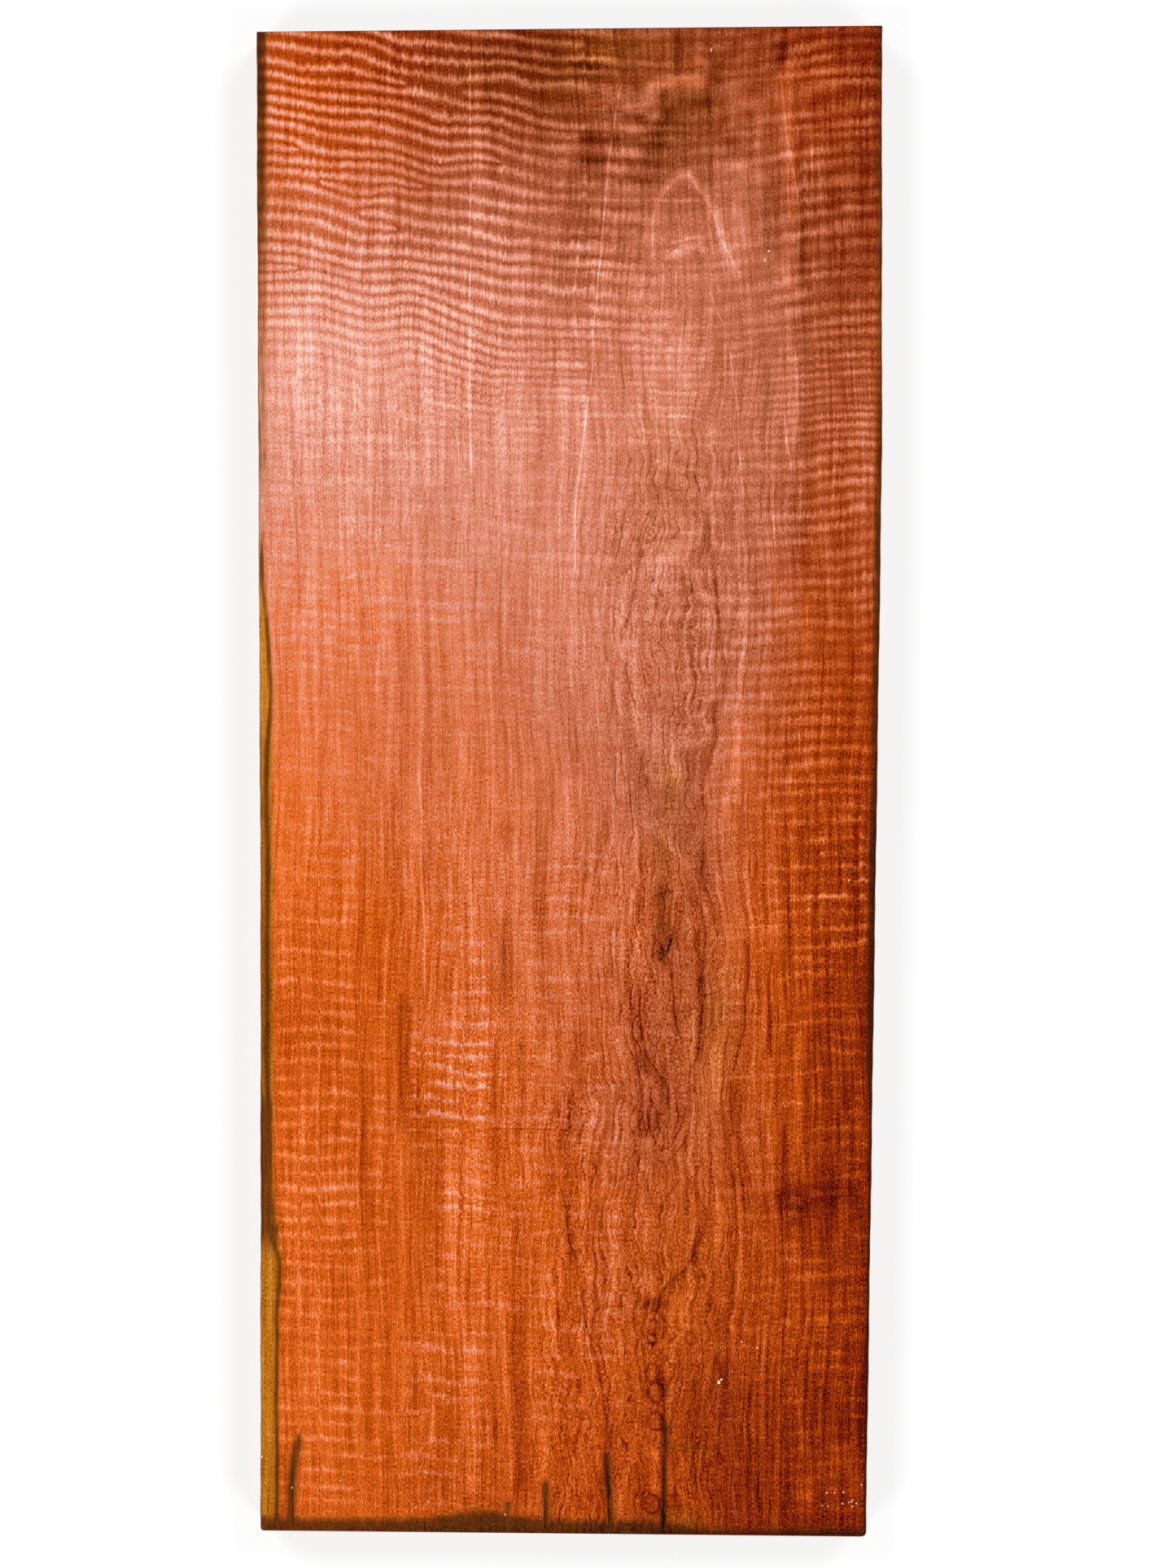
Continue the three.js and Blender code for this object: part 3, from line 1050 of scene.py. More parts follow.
@dataclass(frozen=True)
class Ground:
    """The slow changes of lightness and colour over the board, and its pale and dark streaks, with a broad
    painted highlight and painted pink reflection of the lights among them.
    """

    tones: tuple[Patch, ...] = laid(
        (-350, 860, 95, 130, 14), (0, 455, 110, 45, 9), (45, -198, 45, 60, 10), (250, -170, 55, 80, 8),
        (-345, -745, 28, 50, 9), (125, 790, 70, 40, 6), (235, 350, 60, 50, -7), (330, 745, 60, 90, -10),
        (275, 680, 50, 50, -6), (-130, 890, 90, 70, -10), (-290, 891, 60, 45, -12), (-260, 780, 60, 60, -8),
        (320, -650, 50, 150, 7), (-85, 840, 60, 90, -10), (310, 560, 70, 140, -10), (85, 290, 60, 90, -9),
        (-330, -305, 40, 60, -14), (-150, -310, 60, 55, 9), (85, -90, 60, 60, 9), (330, -850, 60, 50, 24),
        (124, -850, 40, 50, 12), (0, 780, 60, 60, -7), (-310, 520, 90, 130, 18), (-312, -100, 22, 900, 6),
        (-300, -830, 100, 200, 18), (235, -300, 70, 330, 12), (124, -680, 50, 180, 11),
        (330, 300, 50, 150, -4), (285, 300, 50, 130, -8), (-20, 880, 75, 80, -24), (115, 790, 48, 65, -24),
        (310, 810, 110, 130, 20), (190, 660, 50, 60, 18), (0, 600, 75, 170, -13), (124, 345, 45, 55, -11),
        (205, -20, 42, 260, 14), (-192, -420, 38, 330, -12), (-112, -300, 34, 420, 6),
        (-20, -640, 70, 160, -7), (160, -810, 120, 100, -17), (290, -520, 34, 34, -14),
        (-195, 500, 38, 85, 10), (-150, 730, 110, 120, -7), (-112, 60, 45, 150, -4), (48, 892, 48, 36, -12),
    )
    streaks: tuple[Smear, ...] = STREAKS
    # Pink patches: partly the wood's colour, partly painted reflection of the lights.
    pink_and_sheen_patches: tuple[Patch, ...] = laid(
        (-350, -500, 32, 450, -0.28), (0, 905, 400, 60, -0.14), (60, -416, 210, 50, 0.14),
        (45, -634, 45, 60, 0.16), (-345, -470, 24, 110, -0.2), (283, -500, 40, 80, 0.1),
        (-350, 750, 40, 200, -0.15), (125, 400, 40, 90, 0.15), (60, 120, 90, 60, -0.12),
        (-192, 130, 40, 60, 0.12), (45, -530, 50, 70, 0.15), (203, -300, 40, 60, 0.15),
        (-300, 900, 130, 120, -0.75), (-270, 770, 130, 90, -0.5), (-290, 670, 80, 60, -0.15),
        (0, 870, 170, 90, -0.33), (-120, 780, 60, 60, -0.1), (280, 860, 120, 150, -0.5),
        (60, 440, 110, 90, 0.13), (124, 345, 40, 50, 0.1), (-20, 230, 90, 60, -0.17),
        (120, 120, 80, 70, -0.14), (50, 20, 50, 60, -0.15), (-190, -40, 120, 110, 0.22),
        (-110, -200, 60, 60, 0.15), (60, -310, 120, 100, 0.25), (85, -480, 100, 150, 0.2),
        (340, -640, 60, 260, -0.3), (285, 240, 70, 160, -0.2), (320, -820, 70, 130, -0.3),
        (124, -850, 60, 60, -0.25), (-250, 225, 100, 70, -0.2), (-100, 140, 110, 70, -0.18),
        (-60, 0, 90, 90, -0.32), (20, -130, 60, 110, -0.3), (100, -160, 50, 120, -0.36),
        (200, 10, 60, 90, -0.2), (330, -60, 50, 200, -0.3), (290, -150, 60, 200, -0.15),
        (45, -320, 50, 80, -0.35), (45, -520, 50, 60, -0.2), (330, -450, 50, 200, -0.25),
        (-140, -300, 50, 60, 0.2), (200, -450, 50, 80, 0.1),
    )

    def tone(self, x: Array, y: Array) -> Array:
        """How light the wood looks under its fine figure, with a broad painted highlight over the upper
        middle.

        Args:
            x: Places across the board.
            y: Places along it.

        Returns:
            Lightness from 0 to 255.
        """
        across = 121.5 - 50.0 * rise(x, -40.0, 400.0)
        # Painted highlight: a broad lighter band over the upper middle, partly the wood's paler tone and
        # partly the soft lights' reflection on the satin face.
        paler_wood_and_highlight = 45.0 * np.where(y > 455.0, hump(y, 455.0, 255.0), hump(y, 455.0, 440.0))
        ends = -12.0 * rise(y, 700.0, 900.0) - 14.0 * rise(y, -620.0, -880.0)
        redder = -9.0 * rise(x, 255.0, 262.0) * rise(y, -20.0, -80.0)
        return across + paler_wood_and_highlight + ends + redder + patches(x, y, self.tones) + smears(x, y, self.streaks)

    def blush(self, x: Array, y: Array) -> Array:
        """How pink the wood looks: partly its own salmon colour and partly a painted reflection of the soft
        lights.

        Args:
            x: Places across the board.
            y: Places along it.

        Returns:
            0 for orange rust and 1 for salmon.
        """
        lobe = np.where(x < 85.0, hump(x, 85.0, 200.0), hump(x, 85.0, 150.0))
        front = 190.0 - 470.0 * lobe
        side = blend(1.0, 0.62, rise(x, 225.0, 330.0))
        low = 0.12 * rise(y, -60.0, -200.0) * rise(x, -180.0, -260.0)
        # Painted reflection: the broad pink spread over the upper middle stands for the lights' glare on the
        # satin face, mixed with the wood's own pink.
        spread = 1.12 * side * rise(y, front - 330.0, front + 330.0)
        return spread - low + patches(x, y, self.pink_and_sheen_patches)

    @staticmethod
    def blush_gain(x: Array, y: Array) -> Array:
        """How much pinker the wood grows with each step of lightness, a painted sheen that pales the rust
        towards salmon.

        Args:
            x: Places across the board.
            y: Places along it.

        Returns:
            The share that a step adds.
        """
        head = 0.7 * rise(y, 380.0, 600.0) * rise(x, 20.0, -100.0)
        right = rise(x, 180.0, 270.0) * rise(y, -350.0, 0.0)
        heart = 0.6 * hump(x, 120.0, 80.0) * rise(y, 400.0, 200.0)
        return 0.0025 + 0.0085 * np.maximum.reduce([head, right, heart])

    @staticmethod
    def curl_blush(x: Array, y: Array) -> Array:
        """How much pinker a stripe of the curl is for each step of its lightness: painted sheen on its bright
        crests.
        """
        head = 0.006 + 0.005 * rise(y, 620.0, 820.0)
        return blend(head, blend(0.018, 0.011, rise(x, 60.0, 200.0)), rise(y, 450.0, 250.0))

    @staticmethod
    def grain(x: Array, y: Array) -> Array:
        """How strongly the fibres stand out from each other.

        Args:
            x: Places across the board.
            y: Places along it.

        Returns:
            Their contrast: 1 is the usual one.
        """
        lower = rise(y, 120.0, -150.0) * rise(x, -250.0, -120.0)
        right = rise(x, 200.0, 270.0) * rise(y, 200.0, 0.0)
        heart = hump(x, 120.0, 110.0) * rise(y, 500.0, 250.0)
        pink = hump(x, -250.0, 170.0) * hump(y, 480.0, 160.0)
        return 1.1 + 0.2 * rise(y, 100.0, -200.0) + 0.35 * np.maximum.reduce([lower, right, heart, pink])


@dataclass(frozen=True)
class Stain:
    """Sapwood and dark stain along the board's edges and in its foot, with a thin rim of painted arris shade
    at the outline.
    """

    clouds: tuple[Patch, ...] = laid(
        (134, 840, 20, 12, 0.22), (118, 800, 16, 18, 0.22), (60, 785, 60, 9, 0.2), (178, 865, 12, 28, 0.25),
        (-12, 880, 14, 60, 0.35), (112, -168, 12, 46, 0.36), (142, -190, 6, 80, 0.3), (289, -50, 3, 10, 0.7),
    )
    gold: tuple[Patch, ...] = laid(
        (125, 6, 12, 22, 0.4), (120, 350, 45, 100, 0.1), (175, -300, 35, 100, 0.25),
        (120, -90, 20, 80, 0.2), (60, 890, 60, 30, 0.4), (0, 860, 40, 60, 0.25), (140, 820, 40, 40, 0.3),
        (-110, 870, 60, 60, 0.2), (-112, -895, 22, 12, 0.4), (140, -900, 25, 14, 0.5),
        (148, -810, 30, 8, 0.35), (130, -620, 60, 120, 0.15),
    )
    streaks: tuple[Smear, ...] = streaks_through(
        (8.0, 0.85, 366, 1768, 362, 1790, 358, 1830, 356, 1875), (2.5, 0.6, 522, 1826, 522, 1840),
        (5.0, 0.75, 625, 1846, 622, 1880), (5.5, 0.8, 670, 1822, 671, 1880),
        (6.0, 0.8, 745, 1788, 748, 1830, 751, 1880), (5.0, 0.75, 817, 1752, 815, 1885),
        (7.0, 0.35, 580, 1852, 612, 1856), (10.0, 0.4, 770, 1872, 812, 1868),
    )

    def umber(self, x: Array, y: Array, board: Board) -> Array:
        """How much dark stain there is at each place, with a thin rim of painted arris shade along the long
        edges and the foot.

        Args:
            x: Places across the board.
            y: Places along it.
            board: The board, whose edges are stained.

        Returns:
            A share from 0 to about 1.
        """
        from_left = x - board.left(y)
        from_right = board.right(y) - x
        from_foot = y - board.foot(x)
        width = self.sapwood(y)
        upper_left = rise(from_left, 17.0, 7.0) * rise(y, 260.0, 420.0)
        upper_left *= blend(0.55, 0.8, rise(y, 560.0, 760.0))
        middle = rise(y, 110.0, 30.0) * rise(y, -590.0, -540.0)
        low = rise(y, -365.0, -410.0) * middle
        seam = 0.9 * hump(from_left, width * blend(0.93, 0.54, middle), 3.6 + 1.2 * middle)
        dull = blend(0.06 + 0.24 * middle, 0.75, low) * rise(from_left, width + 1.0, width - 1.0)
        left = np.maximum(upper_left, np.maximum(seam, dull) * rise(y, 360.0, 260.0))
        # Painted shade: a thin darker rim just inside the left edge, where the arris falls away.
        left = left + (0.06 + 0.18 * middle) * rise(from_left, 4.5, 1.5) * rise(y, 360.0, 260.0)
        band = 9.0 + 0.5 * rise(y, 430.0, 560.0) - 5.0 * rise(y, -340.0, -420.0)
        right = blend(0.7, 0.42, rise(y, 430.0, 560.0)) * rise(from_right, band + 4.0, band - 3.0)
        # Painted shade: a thin darker rim just inside the right edge, where the arris falls away.
        right = right + 0.2 * rise(from_right, 5.0, 1.0)
        tall = 18.0 + 9.0 * hump(x, -105.0, 55.0) - 5.0 * rise(x, 60.0, 200.0)
        foot = blend(0.85, 0.52, rise(x, 60.0, 200.0)) * rise(from_foot, tall + 7.0, tall - 7.0)
        # Painted shade: a thin darker rim right at the foot end, where the arris falls away.
        foot = foot + 0.3 * rise(from_foot, 8.0, 1.0)
        stained = smears(x, y, self.streaks)
        return np.maximum.reduce([left, right, foot, stained, patches(x, y, self.clouds)])

    @staticmethod
    def sapwood(y: Array) -> Array:
        """Width of the golden sapwood at each place along the left edge.

        Args:
            y: Places along the board.

        Returns:
            The width.
        """
        down = (620, 700, 760, 820, 850, 1350, 1480, 1540, 1580, 1620, 1800, 1890)
        wide = (4, 5, 8, 13, 16, 15, 17, 24, 25, 21, 21, 23)
        return np.interp(MIDDLE[1] - y / PIXEL, down, wide) + 0.8 * np.sin(y / 23.0)

    def ochre(self, x: Array, y: Array, board: Board) -> Array:
        """How much of the wood is golden sapwood.

        Args:
            x: Places across the board.
            y: Places along it.
            board: The board, whose left edge is sapwood.

        Returns:
            A share from 0 to 1.
        """
        width = self.sapwood(y)
        strip = rise(x - board.left(y), width + 1.5, width - 1.5) * rise(y, 330.0, 200.0)
        return np.maximum(strip, patches(x, y, self.gold))


@dataclass(frozen=True)
class Stroke:
    """A thin line in the figure, drawn through points from one end to the other."""

    points: tuple[Point2, ...]
    power: float = 1.0


def drawn(*rows: tuple[float, ...], on_photo: bool = False) -> tuple[Stroke, ...]:
    """Thin lines.

    Args:
        rows: For each line its strength and the places it runs through, one coordinate after the other.
        on_photo: Whether those are pixels of the photograph.

    Returns:
        The lines in the board's millimetres.
    """
    lines = ((power, paired(*places)) for power, *places in rows)
    return tuple(Stroke(traced(*points) if on_photo else points, power) for power, points in lines)


class Direction(Enum):
    """Which way a family of strokes runs."""

    ALONG = 1
    ACROSS = 0


@dataclass(frozen=True)
class Strokes:
    """A family of thin lines that never lie within a few millimetres of each other."""

    direction: Direction
    strokes: tuple[Stroke, ...]
    reach: float = 9.0
    fade: float = 9.0

    def measure(self, x: Array, y: Array) -> tuple[Array, Array]:
        """Finds the nearest stroke.

        Args:
            x: Places across the board.
            y: Places along it.

        Returns:
            How far each place lies beside that stroke, and how strong the stroke is there. The strength sinks
            to nothing halfway to the next stroke, where the distance changes sides.
        """
        run, beside = (y, x) if self.direction is Direction.ALONG else (x, y)
        axis = self.direction.value
        offset, power = np.full_like(x, 2 * self.reach), np.zeros_like(x)
        nearest, second = np.full_like(x, np.inf), np.full_like(x, np.inf)
        for stroke in self.strokes:
            line = np.array(sorted(stroke.points, key=lambda point: point[axis]), float)
            away = beside - np.interp(run, line[:, axis], line[:, 1 - axis])
            window = rise(run, line[0, axis] - self.fade, line[0, axis] + self.fade)
            window *= rise(run, line[-1, axis] + self.fade, line[-1, axis] - self.fade)
            gap = np.where(window > 0.0, np.abs(away), np.inf)
            closer = gap < nearest
            second = np.where(closer, nearest, np.minimum(second, gap))
            nearest = np.where(closer, gap, nearest)
            offset = np.where(closer, away, offset)
            power = np.where(closer, stroke.power * window, power)
        apart = np.where(np.isinf(second), 1.0, rise(second - np.minimum(nearest, 1e6), 0.5, 4.0))
        return offset, power * apart * rise(nearest, 1.6 * self.reach, self.reach)


PALE_LINES = Strokes(
    Direction.ALONG,
    drawn(
        (0.9, -120.8, 876, -120.3, 640, -121.2, 450, -119.0, 376), (0.4, -152.5, 495, -151.0, 361),
        (0.4, -83.7, 445, -84.5, 356), (0.8, 196.5, 526, 199.5, 484, 206.4, 446, 205.4, 408, 213.0, 340),
        (0.45, 229.2, 737, 238.0, 691, 240.0, 623), (0.9, 260.9, 446, 264.8, 408, 271.7, 373),
        (0.7, 274.7, 522, 278.7, 448), (0.6, 249.0, 363, 249.5, 295), (0.5, 205.4, 347, 206.0, 267),
        (0.8, -184.6, 25, -180.7, -39, -179.7, -101, -176.7, -177, -175.7, -258),
        (0.8, -175.7, -696, -165.8, -744, -166.8, -789, -171.7, -830), (0.45, 277.7, -357, 278.0, -456),
        (0.7, 274.7, -733, 282.6, -789),
    )
    + drawn(
        (1.0, 763, 105, 755, 150, 748, 200, 744, 250, 739, 310, 728, 410, 728, 450, 722, 500, 708, 600, 706,
         700),
        (0.6, 846, 213, 852, 222, 873, 254, 888, 297, 909, 338), (0.4, 868, 272, 878, 300, 894, 345),
        (0.4, 840, 213, 831, 219, 812, 241, 803, 260, 800, 290, 803, 310),
        (0.7, 871, 354, 878, 377, 890, 400),
        (0.75, 957, 84, 961, 113, 967, 172, 977, 222, 982, 255, 982, 322),
        on_photo=True,
    ),
)

DARK_LINES = Strokes(
    Direction.ALONG,
    drawn(
        (0.5, 100, 368, 109, 344, 96, 312, 87, 289, 84, 261, 80, 232, 73, 200, 63, 168),
        (0.5, 63, 168, 54, 135, 53, 112, 61, 79, 68, 51, 71, 10, 75, -37),
        (0.4, 166, 326, 172, 298, 174, 265, 180, 210, 185, 172, 189, 135, 187, 107),
        (0.6, 187, 107, 175, 79, 180, 51, 168, 24, 161, -9, 164, -33), (0.6, 108, 224, 107, 210, 114, 191),
        (0.5, 95, 49, 100, 24, 107, -5), (0.4, 6, 177, 7, 70, 9, 24),
        (1.4, 122, -217, 125, -245, 128, -282, 133, -305, 138, -319),
        (1.12, 84, -250, 86, -286, 90, -319, 96, -338, 105, -350, 114, -362, 112, -384),
        (0.98, 73, -245, 75, -282, 80, -319, 82, -338, 86, -375, 90, -412, 95, -436, 106, -458),
        (0.6, 164, -81, 161, -110, 159, -133, 161, -161, 166, -193, 161, -226),
        (0.84, 161, -226, 157, -259, 161, -291, 157, -329, 145, -357),
        (0.84, 217, -198, 219, -236, 214, -264, 214, -300, 205, -329, 198, -357),
        (1.12, 198, -357, 196, -384, 198, -412, 200, -431),
        (0.98, 247, -207, 243, -245, 243, -282, 245, -319, 247, -347),
        (0.63, 172, -475, 170, -527, 158, -560, 144, -592, 130, -603, 116, -615, 107, -634),
        (0.84, -9, -498, -2, -527, 0, -560, 9, -582, 13, -610, 18, -653, 28, -685),
        (0.84, 28, -685, 37, -722, 42, -755, 46, -792, 44, -829, 49, -871),
        (0.7, 70, -592, 79, -620, 84, -653, 89, -685, 93, -718, 95, -755),
        (0.7, 114, -643, 116, -675, 113, -718, 115, -755, 115, -801), (0.84, 90, -475, 104, -525),
        (0.84, 104, -525, 134, -485), (0.7, -252, -333, -252, -560), (0.84, -205, -257, -204, -386),
        (0.7, -81, -177, -80, -258), (0.5, 240, 20, 237, -60, 236, -180),
        (0.7, 201, -470, 203, -560, 198, -640), (0.84, 262, -420, 258, -520, 262, -640, 257, -760),
        (0.8, 189, 822, 194, 762), (0.4, 166, 860, 172, 800),
    )
    + drawn(
        (1.7, 795, 1362, 798, 1385, 805, 1402, 818, 1416),
        (1.3, 818, 1416, 828, 1402, 837, 1382, 842, 1362), (1.6, 797, 1404, 806, 1422, 818, 1432),
        (1.3, 818, 1432, 834, 1414, 846, 1396), (1.2, 806, 1375, 812, 1390, 818, 1400),
        on_photo=True,
    ),
    fade=7.0,
)

PALE_CROSSES = Strokes(
    Direction.ACROSS,
    drawn(
        (0.6, 23.3, 707.1, 166.8, 706.0), (0.8, 248.0, -1.5, 334.0, 0.5),
        (0.8, 258.0, -139.5, 332.0, -140.5), (0.8, 217.3, -178.0, 257.9, -175.0),
        (0.7, 277.7, 69.0, 322.2, 70.5), (0.9, 120.0, 653.0, 155.0, 662.0),
        (0.4, -220.0, 535.0, -140.0, 534.0), (0.4, -115.3, -421.5, -93.6, -419.5, -14.4, -420.5),
    )
    + drawn(
        (0.7, 808, 521, 825, 511, 850, 512, 868, 520),
        on_photo=True,
    ),
    reach=5.0,
)

# Dark lines across the grain. The scratch and the arched hairline crack among them are painted shade, in
# place of grooves that the mesh lacks.
DARK_CROSSES = Strokes(
    Direction.ACROSS,
    drawn(
        (0.8, -115.3, -426.0, -93.6, -423.5, -54.0, -423.0, -14.4, -424.0, 0.5, -426.0),
        (1.0, 159.9, -266.0, 167.0, -259.8, 177.7, -257.5, 190.6, -250.8, 197.5, -248.8),
        (0.8, 219.3, -252.3, 226.8, -255.7), (0.5, 105.0, 456.0, 150.0, 457.5),
        (0.6, 190.0, 464.0, 222.0, 463.0),
    ),
    reach=5.0,
    fade=4.0,
)


@dataclass(frozen=True)
class Figure:
    """Everything that shows in the wood, worked out for any place on the board."""

    board: Board
    log: Log = Log()
    curl: Curl = Curl()
    ground: Ground = Ground()
    stain: Stain = Stain()
    shown_above: Point2 = (0.35, 0.95)  # where in the thickness the show face's colours come in
    hidden_tone: float = 104.0
    hidden_curl: float = 0.35
    hidden_grain: float = 0.8
    hidden_blush: float = 0.45

    def marks(self, x: Array, y: Array, z: Array) -> dict[Mark, Array]:
        """Works out the figure's numbers.

        Args:
            x: Places across the board.
            y: Places along it.
            z: Heights above the underside.

        Returns:
            One array for each mark.
        """
        low, high = self.shown_above
        shown = rise(z, low * self.board.thickness, high * self.board.thickness)
        power = self.curl.power(x, y) * blend(self.hidden_curl, 1.0, shown)
        stripes, pitch = self.curl.stripes(x, y)
        sharp = self.curl.sharp(x, y, pitch)
        rest = self.curl.rest(power, sharp)
        tone = blend(self.hidden_tone, self.ground.tone(x, y), shown)
        curl_blush = self.ground.curl_blush(x, y)
        blush = self.ground.blush(x, y) * blend(self.hidden_blush, 1.0, shown)
        marks = {
            Mark.RINGS: self.log.rings(x, y, z, self.board),
            Mark.FIBRE: self.log.fibre(x, y),
            Mark.WILD: self.log.wild(x, y),
            Mark.GRAIN: self.ground.grain(x, y) * blend(self.hidden_grain, 1.0, shown),
            Mark.CURL: stripes,
            Mark.CURL_POWER: power,
            Mark.CURL_SHARP: sharp,
            Mark.LOOSE: self.curl.loose(x, y),
            Mark.TONE: tone - rest,
            Mark.BLUSH_GAIN: self.ground.blush_gain(x, y),
            Mark.CURL_BLUSH: curl_blush,
            Mark.BLUSH_AND_SHEEN: blush - curl_blush * rest,
            Mark.UMBER: self.stain.umber(x, y, self.board),
            Mark.OCHRE: self.stain.ochre(x, y, self.board),
        }
        families = (
            (PALE_LINES, Mark.PALE_SIDE, Mark.PALE_POWER),
            (DARK_LINES, Mark.DARK_SIDE, Mark.DARK_POWER),
            (PALE_CROSSES, Mark.PALE_CROSS, Mark.PALE_CROSS_POWER),
            (DARK_CROSSES, Mark.DARK_CROSS, Mark.DARK_CROSS_POWER),
        )
        for strokes, side, strength in families:
            marks[side], marks[strength] = strokes.measure(x, y)
            marks[strength] *= shown
        return marks


# Shader tools


class Link:
    """A node's output, with Python's operators for sums on its number."""

    def __init__(self, graph: Graph, socket: bpy.types.NodeSocket) -> None:
        """Wraps a socket of a graph."""
        self.graph = graph
        self.socket = socket

    def _math(self, operation: str, first: Value, second: Value) -> Link:
        """Adds a Math node on two values."""
        return self.graph.node("ShaderNodeMath", {"operation": operation}, {0: first, 1: second})

    def __add__(self, other: Value) -> Link:
        """This plus the other."""
        return self._math("ADD", self, other)

    def __radd__(self, other: Value) -> Link:
        """The other plus this."""
        return self._math("ADD", other, self)

    def __sub__(self, other: Value) -> Link:
        """This minus the other."""
        return self._math("SUBTRACT", self, other)

    def __rsub__(self, other: Value) -> Link:
        """The other minus this."""
        return self._math("SUBTRACT", other, self)

    def __mul__(self, other: Value) -> Link:
        """This times the other."""
        return self._math("MULTIPLY", self, other)

    def __rmul__(self, other: Value) -> Link:
        """The other times this."""
        return self._math("MULTIPLY", other, self)

    def __truediv__(self, other: Value) -> Link:
        """This divided by the other."""
        return self._math("DIVIDE", self, other)

    def __pow__(self, other: Value) -> Link:
        """This to the power of the other."""
        return self._math("POWER", self, other)


Value = Link | float | tuple[float, ...]


class Graph:
    """A material's nodes, ending in one Principled shader."""

    def __init__(self, name: str, **constants: float | tuple[float, ...]) -> None:
        """Starts a material.

        Args:
            name: The material's name.
            constants: Sockets of the shader that are the same all over, by name with _ for a space.
        """
        self.material = bpy.data.materials.new(name)
        self.material.use_nodes = True
        self.tree = self.material.node_tree
        self.shader = self.tree.nodes["Principled BSDF"]
        for socket, value in constants.items():
            self.shader.inputs[socket.replace("_", " ")].default_value = value

    def node(
        self,
        kind: str,
        settings: Mapping[str, Any] | None = None,
        sockets: Mapping[int | str, Value] | None = None,
        out: int | str = 0,
    ) -> Link:
        """Adds a node.

        Args:
            kind: Blender's name for the type of node.
            settings: The node's own settings; "stops" are a colour ramp's.
            sockets: A number, a colour or a link for each input, by its place or name.
            out: The output that is wanted.

        Returns:
            That output.
        """
        node = self.tree.nodes.new(kind)
        for name, value in (settings or {}).items():
            if name == "stops":
                self._set_stops(node.color_ramp, value)
            else:
                setattr(node, name, value)
        for name, value in (sockets or {}).items():
            if isinstance(value, Link):
                self.tree.links.new(value.socket, node.inputs[name])
            else:
                node.inputs[name].default_value = value
        return Link(self, node.outputs[out])

    @staticmethod
    def _set_stops(ramp: bpy.types.ColorRamp, stops: Stops) -> None:
        """Gives a colour ramp its colours.

        Args:
            ramp: The ramp.
            stops: Its colours, each at its lightness from 0 to 255.
        """
        while len(ramp.elements) < len(stops):
            ramp.elements.new(1.0)
        for element, (lightness, colour) in zip(ramp.elements, stops, strict=True):
            element.position = lightness / FULL_SCALE
            element.color = linear(colour)

    def read(self, mark: Mark) -> Link:
        """One of the figure's numbers."""
        return self.node("ShaderNodeAttribute", {"attribute_name": mark.value}, out="Fac")

    def place(self) -> tuple[Link, Link, Link]:
        """X, Y and Z on the board, in millimetres.

        Returns:
            The three of them.
        """
        here = self.node("ShaderNodeTexCoord", out="Object")
        scaled = self.node("ShaderNodeVectorMath", {"operation": "SCALE"}, {0: here, "Scale": 1 / MM})
        first = self.node("ShaderNodeSeparateXYZ", None, {0: scaled})
        return tuple(Link(self, output) for output in first.socket.node.outputs)

    def vector(self, x: Value, y: Value, z: Value) -> Link:
        """Three numbers as a vector."""
        return self.node("ShaderNodeCombineXYZ", None, {0: x, 1: y, 2: z})

    def wander(self, where: Link, detail: float = 1.0, roughness: float = 0.5) -> Link:
        """Smooth noise round 0 that mostly stays between -2 and 2, one feature wide at each whole number."""
        sockets = {"Vector": where, "Scale": 1.0, "Detail": detail, "Roughness": roughness}
        return (self.node("ShaderNodeTexNoise", None, sockets) - 0.5) * NOISE_GAIN

    def rise(self, value: Value, low: Value, high: Value) -> Link:
        """Smooth step from 0 at low to 1 at high."""
        settings = {"interpolation_type": "SMOOTHSTEP"}
        return self.node("ShaderNodeMapRange", settings, {"Value": value, "From Min": low, "From Max": high})

    def line(self, side: Link, half_width: float) -> Link:
        """Bell curve of height 1 on a line, from the distance beside it."""
        share = side / half_width
        return self.node("ShaderNodeMath", {"operation": "EXPONENT"}, {0: share * share * -1.0})

    def ramp(self, lightness: Link, stops: Stops) -> Link:
        """Colour of a lightness from 0 to 255."""
        return self.node("ShaderNodeValToRGB", {"stops": stops}, {0: lightness / FULL_SCALE})

    def mix(self, share: Value, first: Link, second: Link) -> Link:
        """Colour a share of the way from the first to the second."""
        return self.node("ShaderNodeMix", {"data_type": "RGBA"}, {0: share, 6: first, 7: second}, out=2)

    def finish(
        self, colour: Link, roughness: Link, height: Link | None = None, depth: float = 0.1
    ) -> bpy.types.Material:
        """Connects the shader.

        Args:
            colour: The base colour.
            roughness: How dull the surface is.
            height: Relief, about 1 from valley to hill.
            depth: Height of that relief in millimetres.

        Returns:
            The material.
        """
        self.tree.links.new(colour.socket, self.shader.inputs["Base Color"])
        self.tree.links.new(roughness.socket, self.shader.inputs["Roughness"])
        if height is not None:
            sockets = {"Strength": 1.0, "Distance": depth * MM, "Height": height}
            bump = self.node("ShaderNodeBump", None, sockets)
            self.tree.links.new(bump.socket, self.shader.inputs["Normal"])
        return self.material


# Finishes


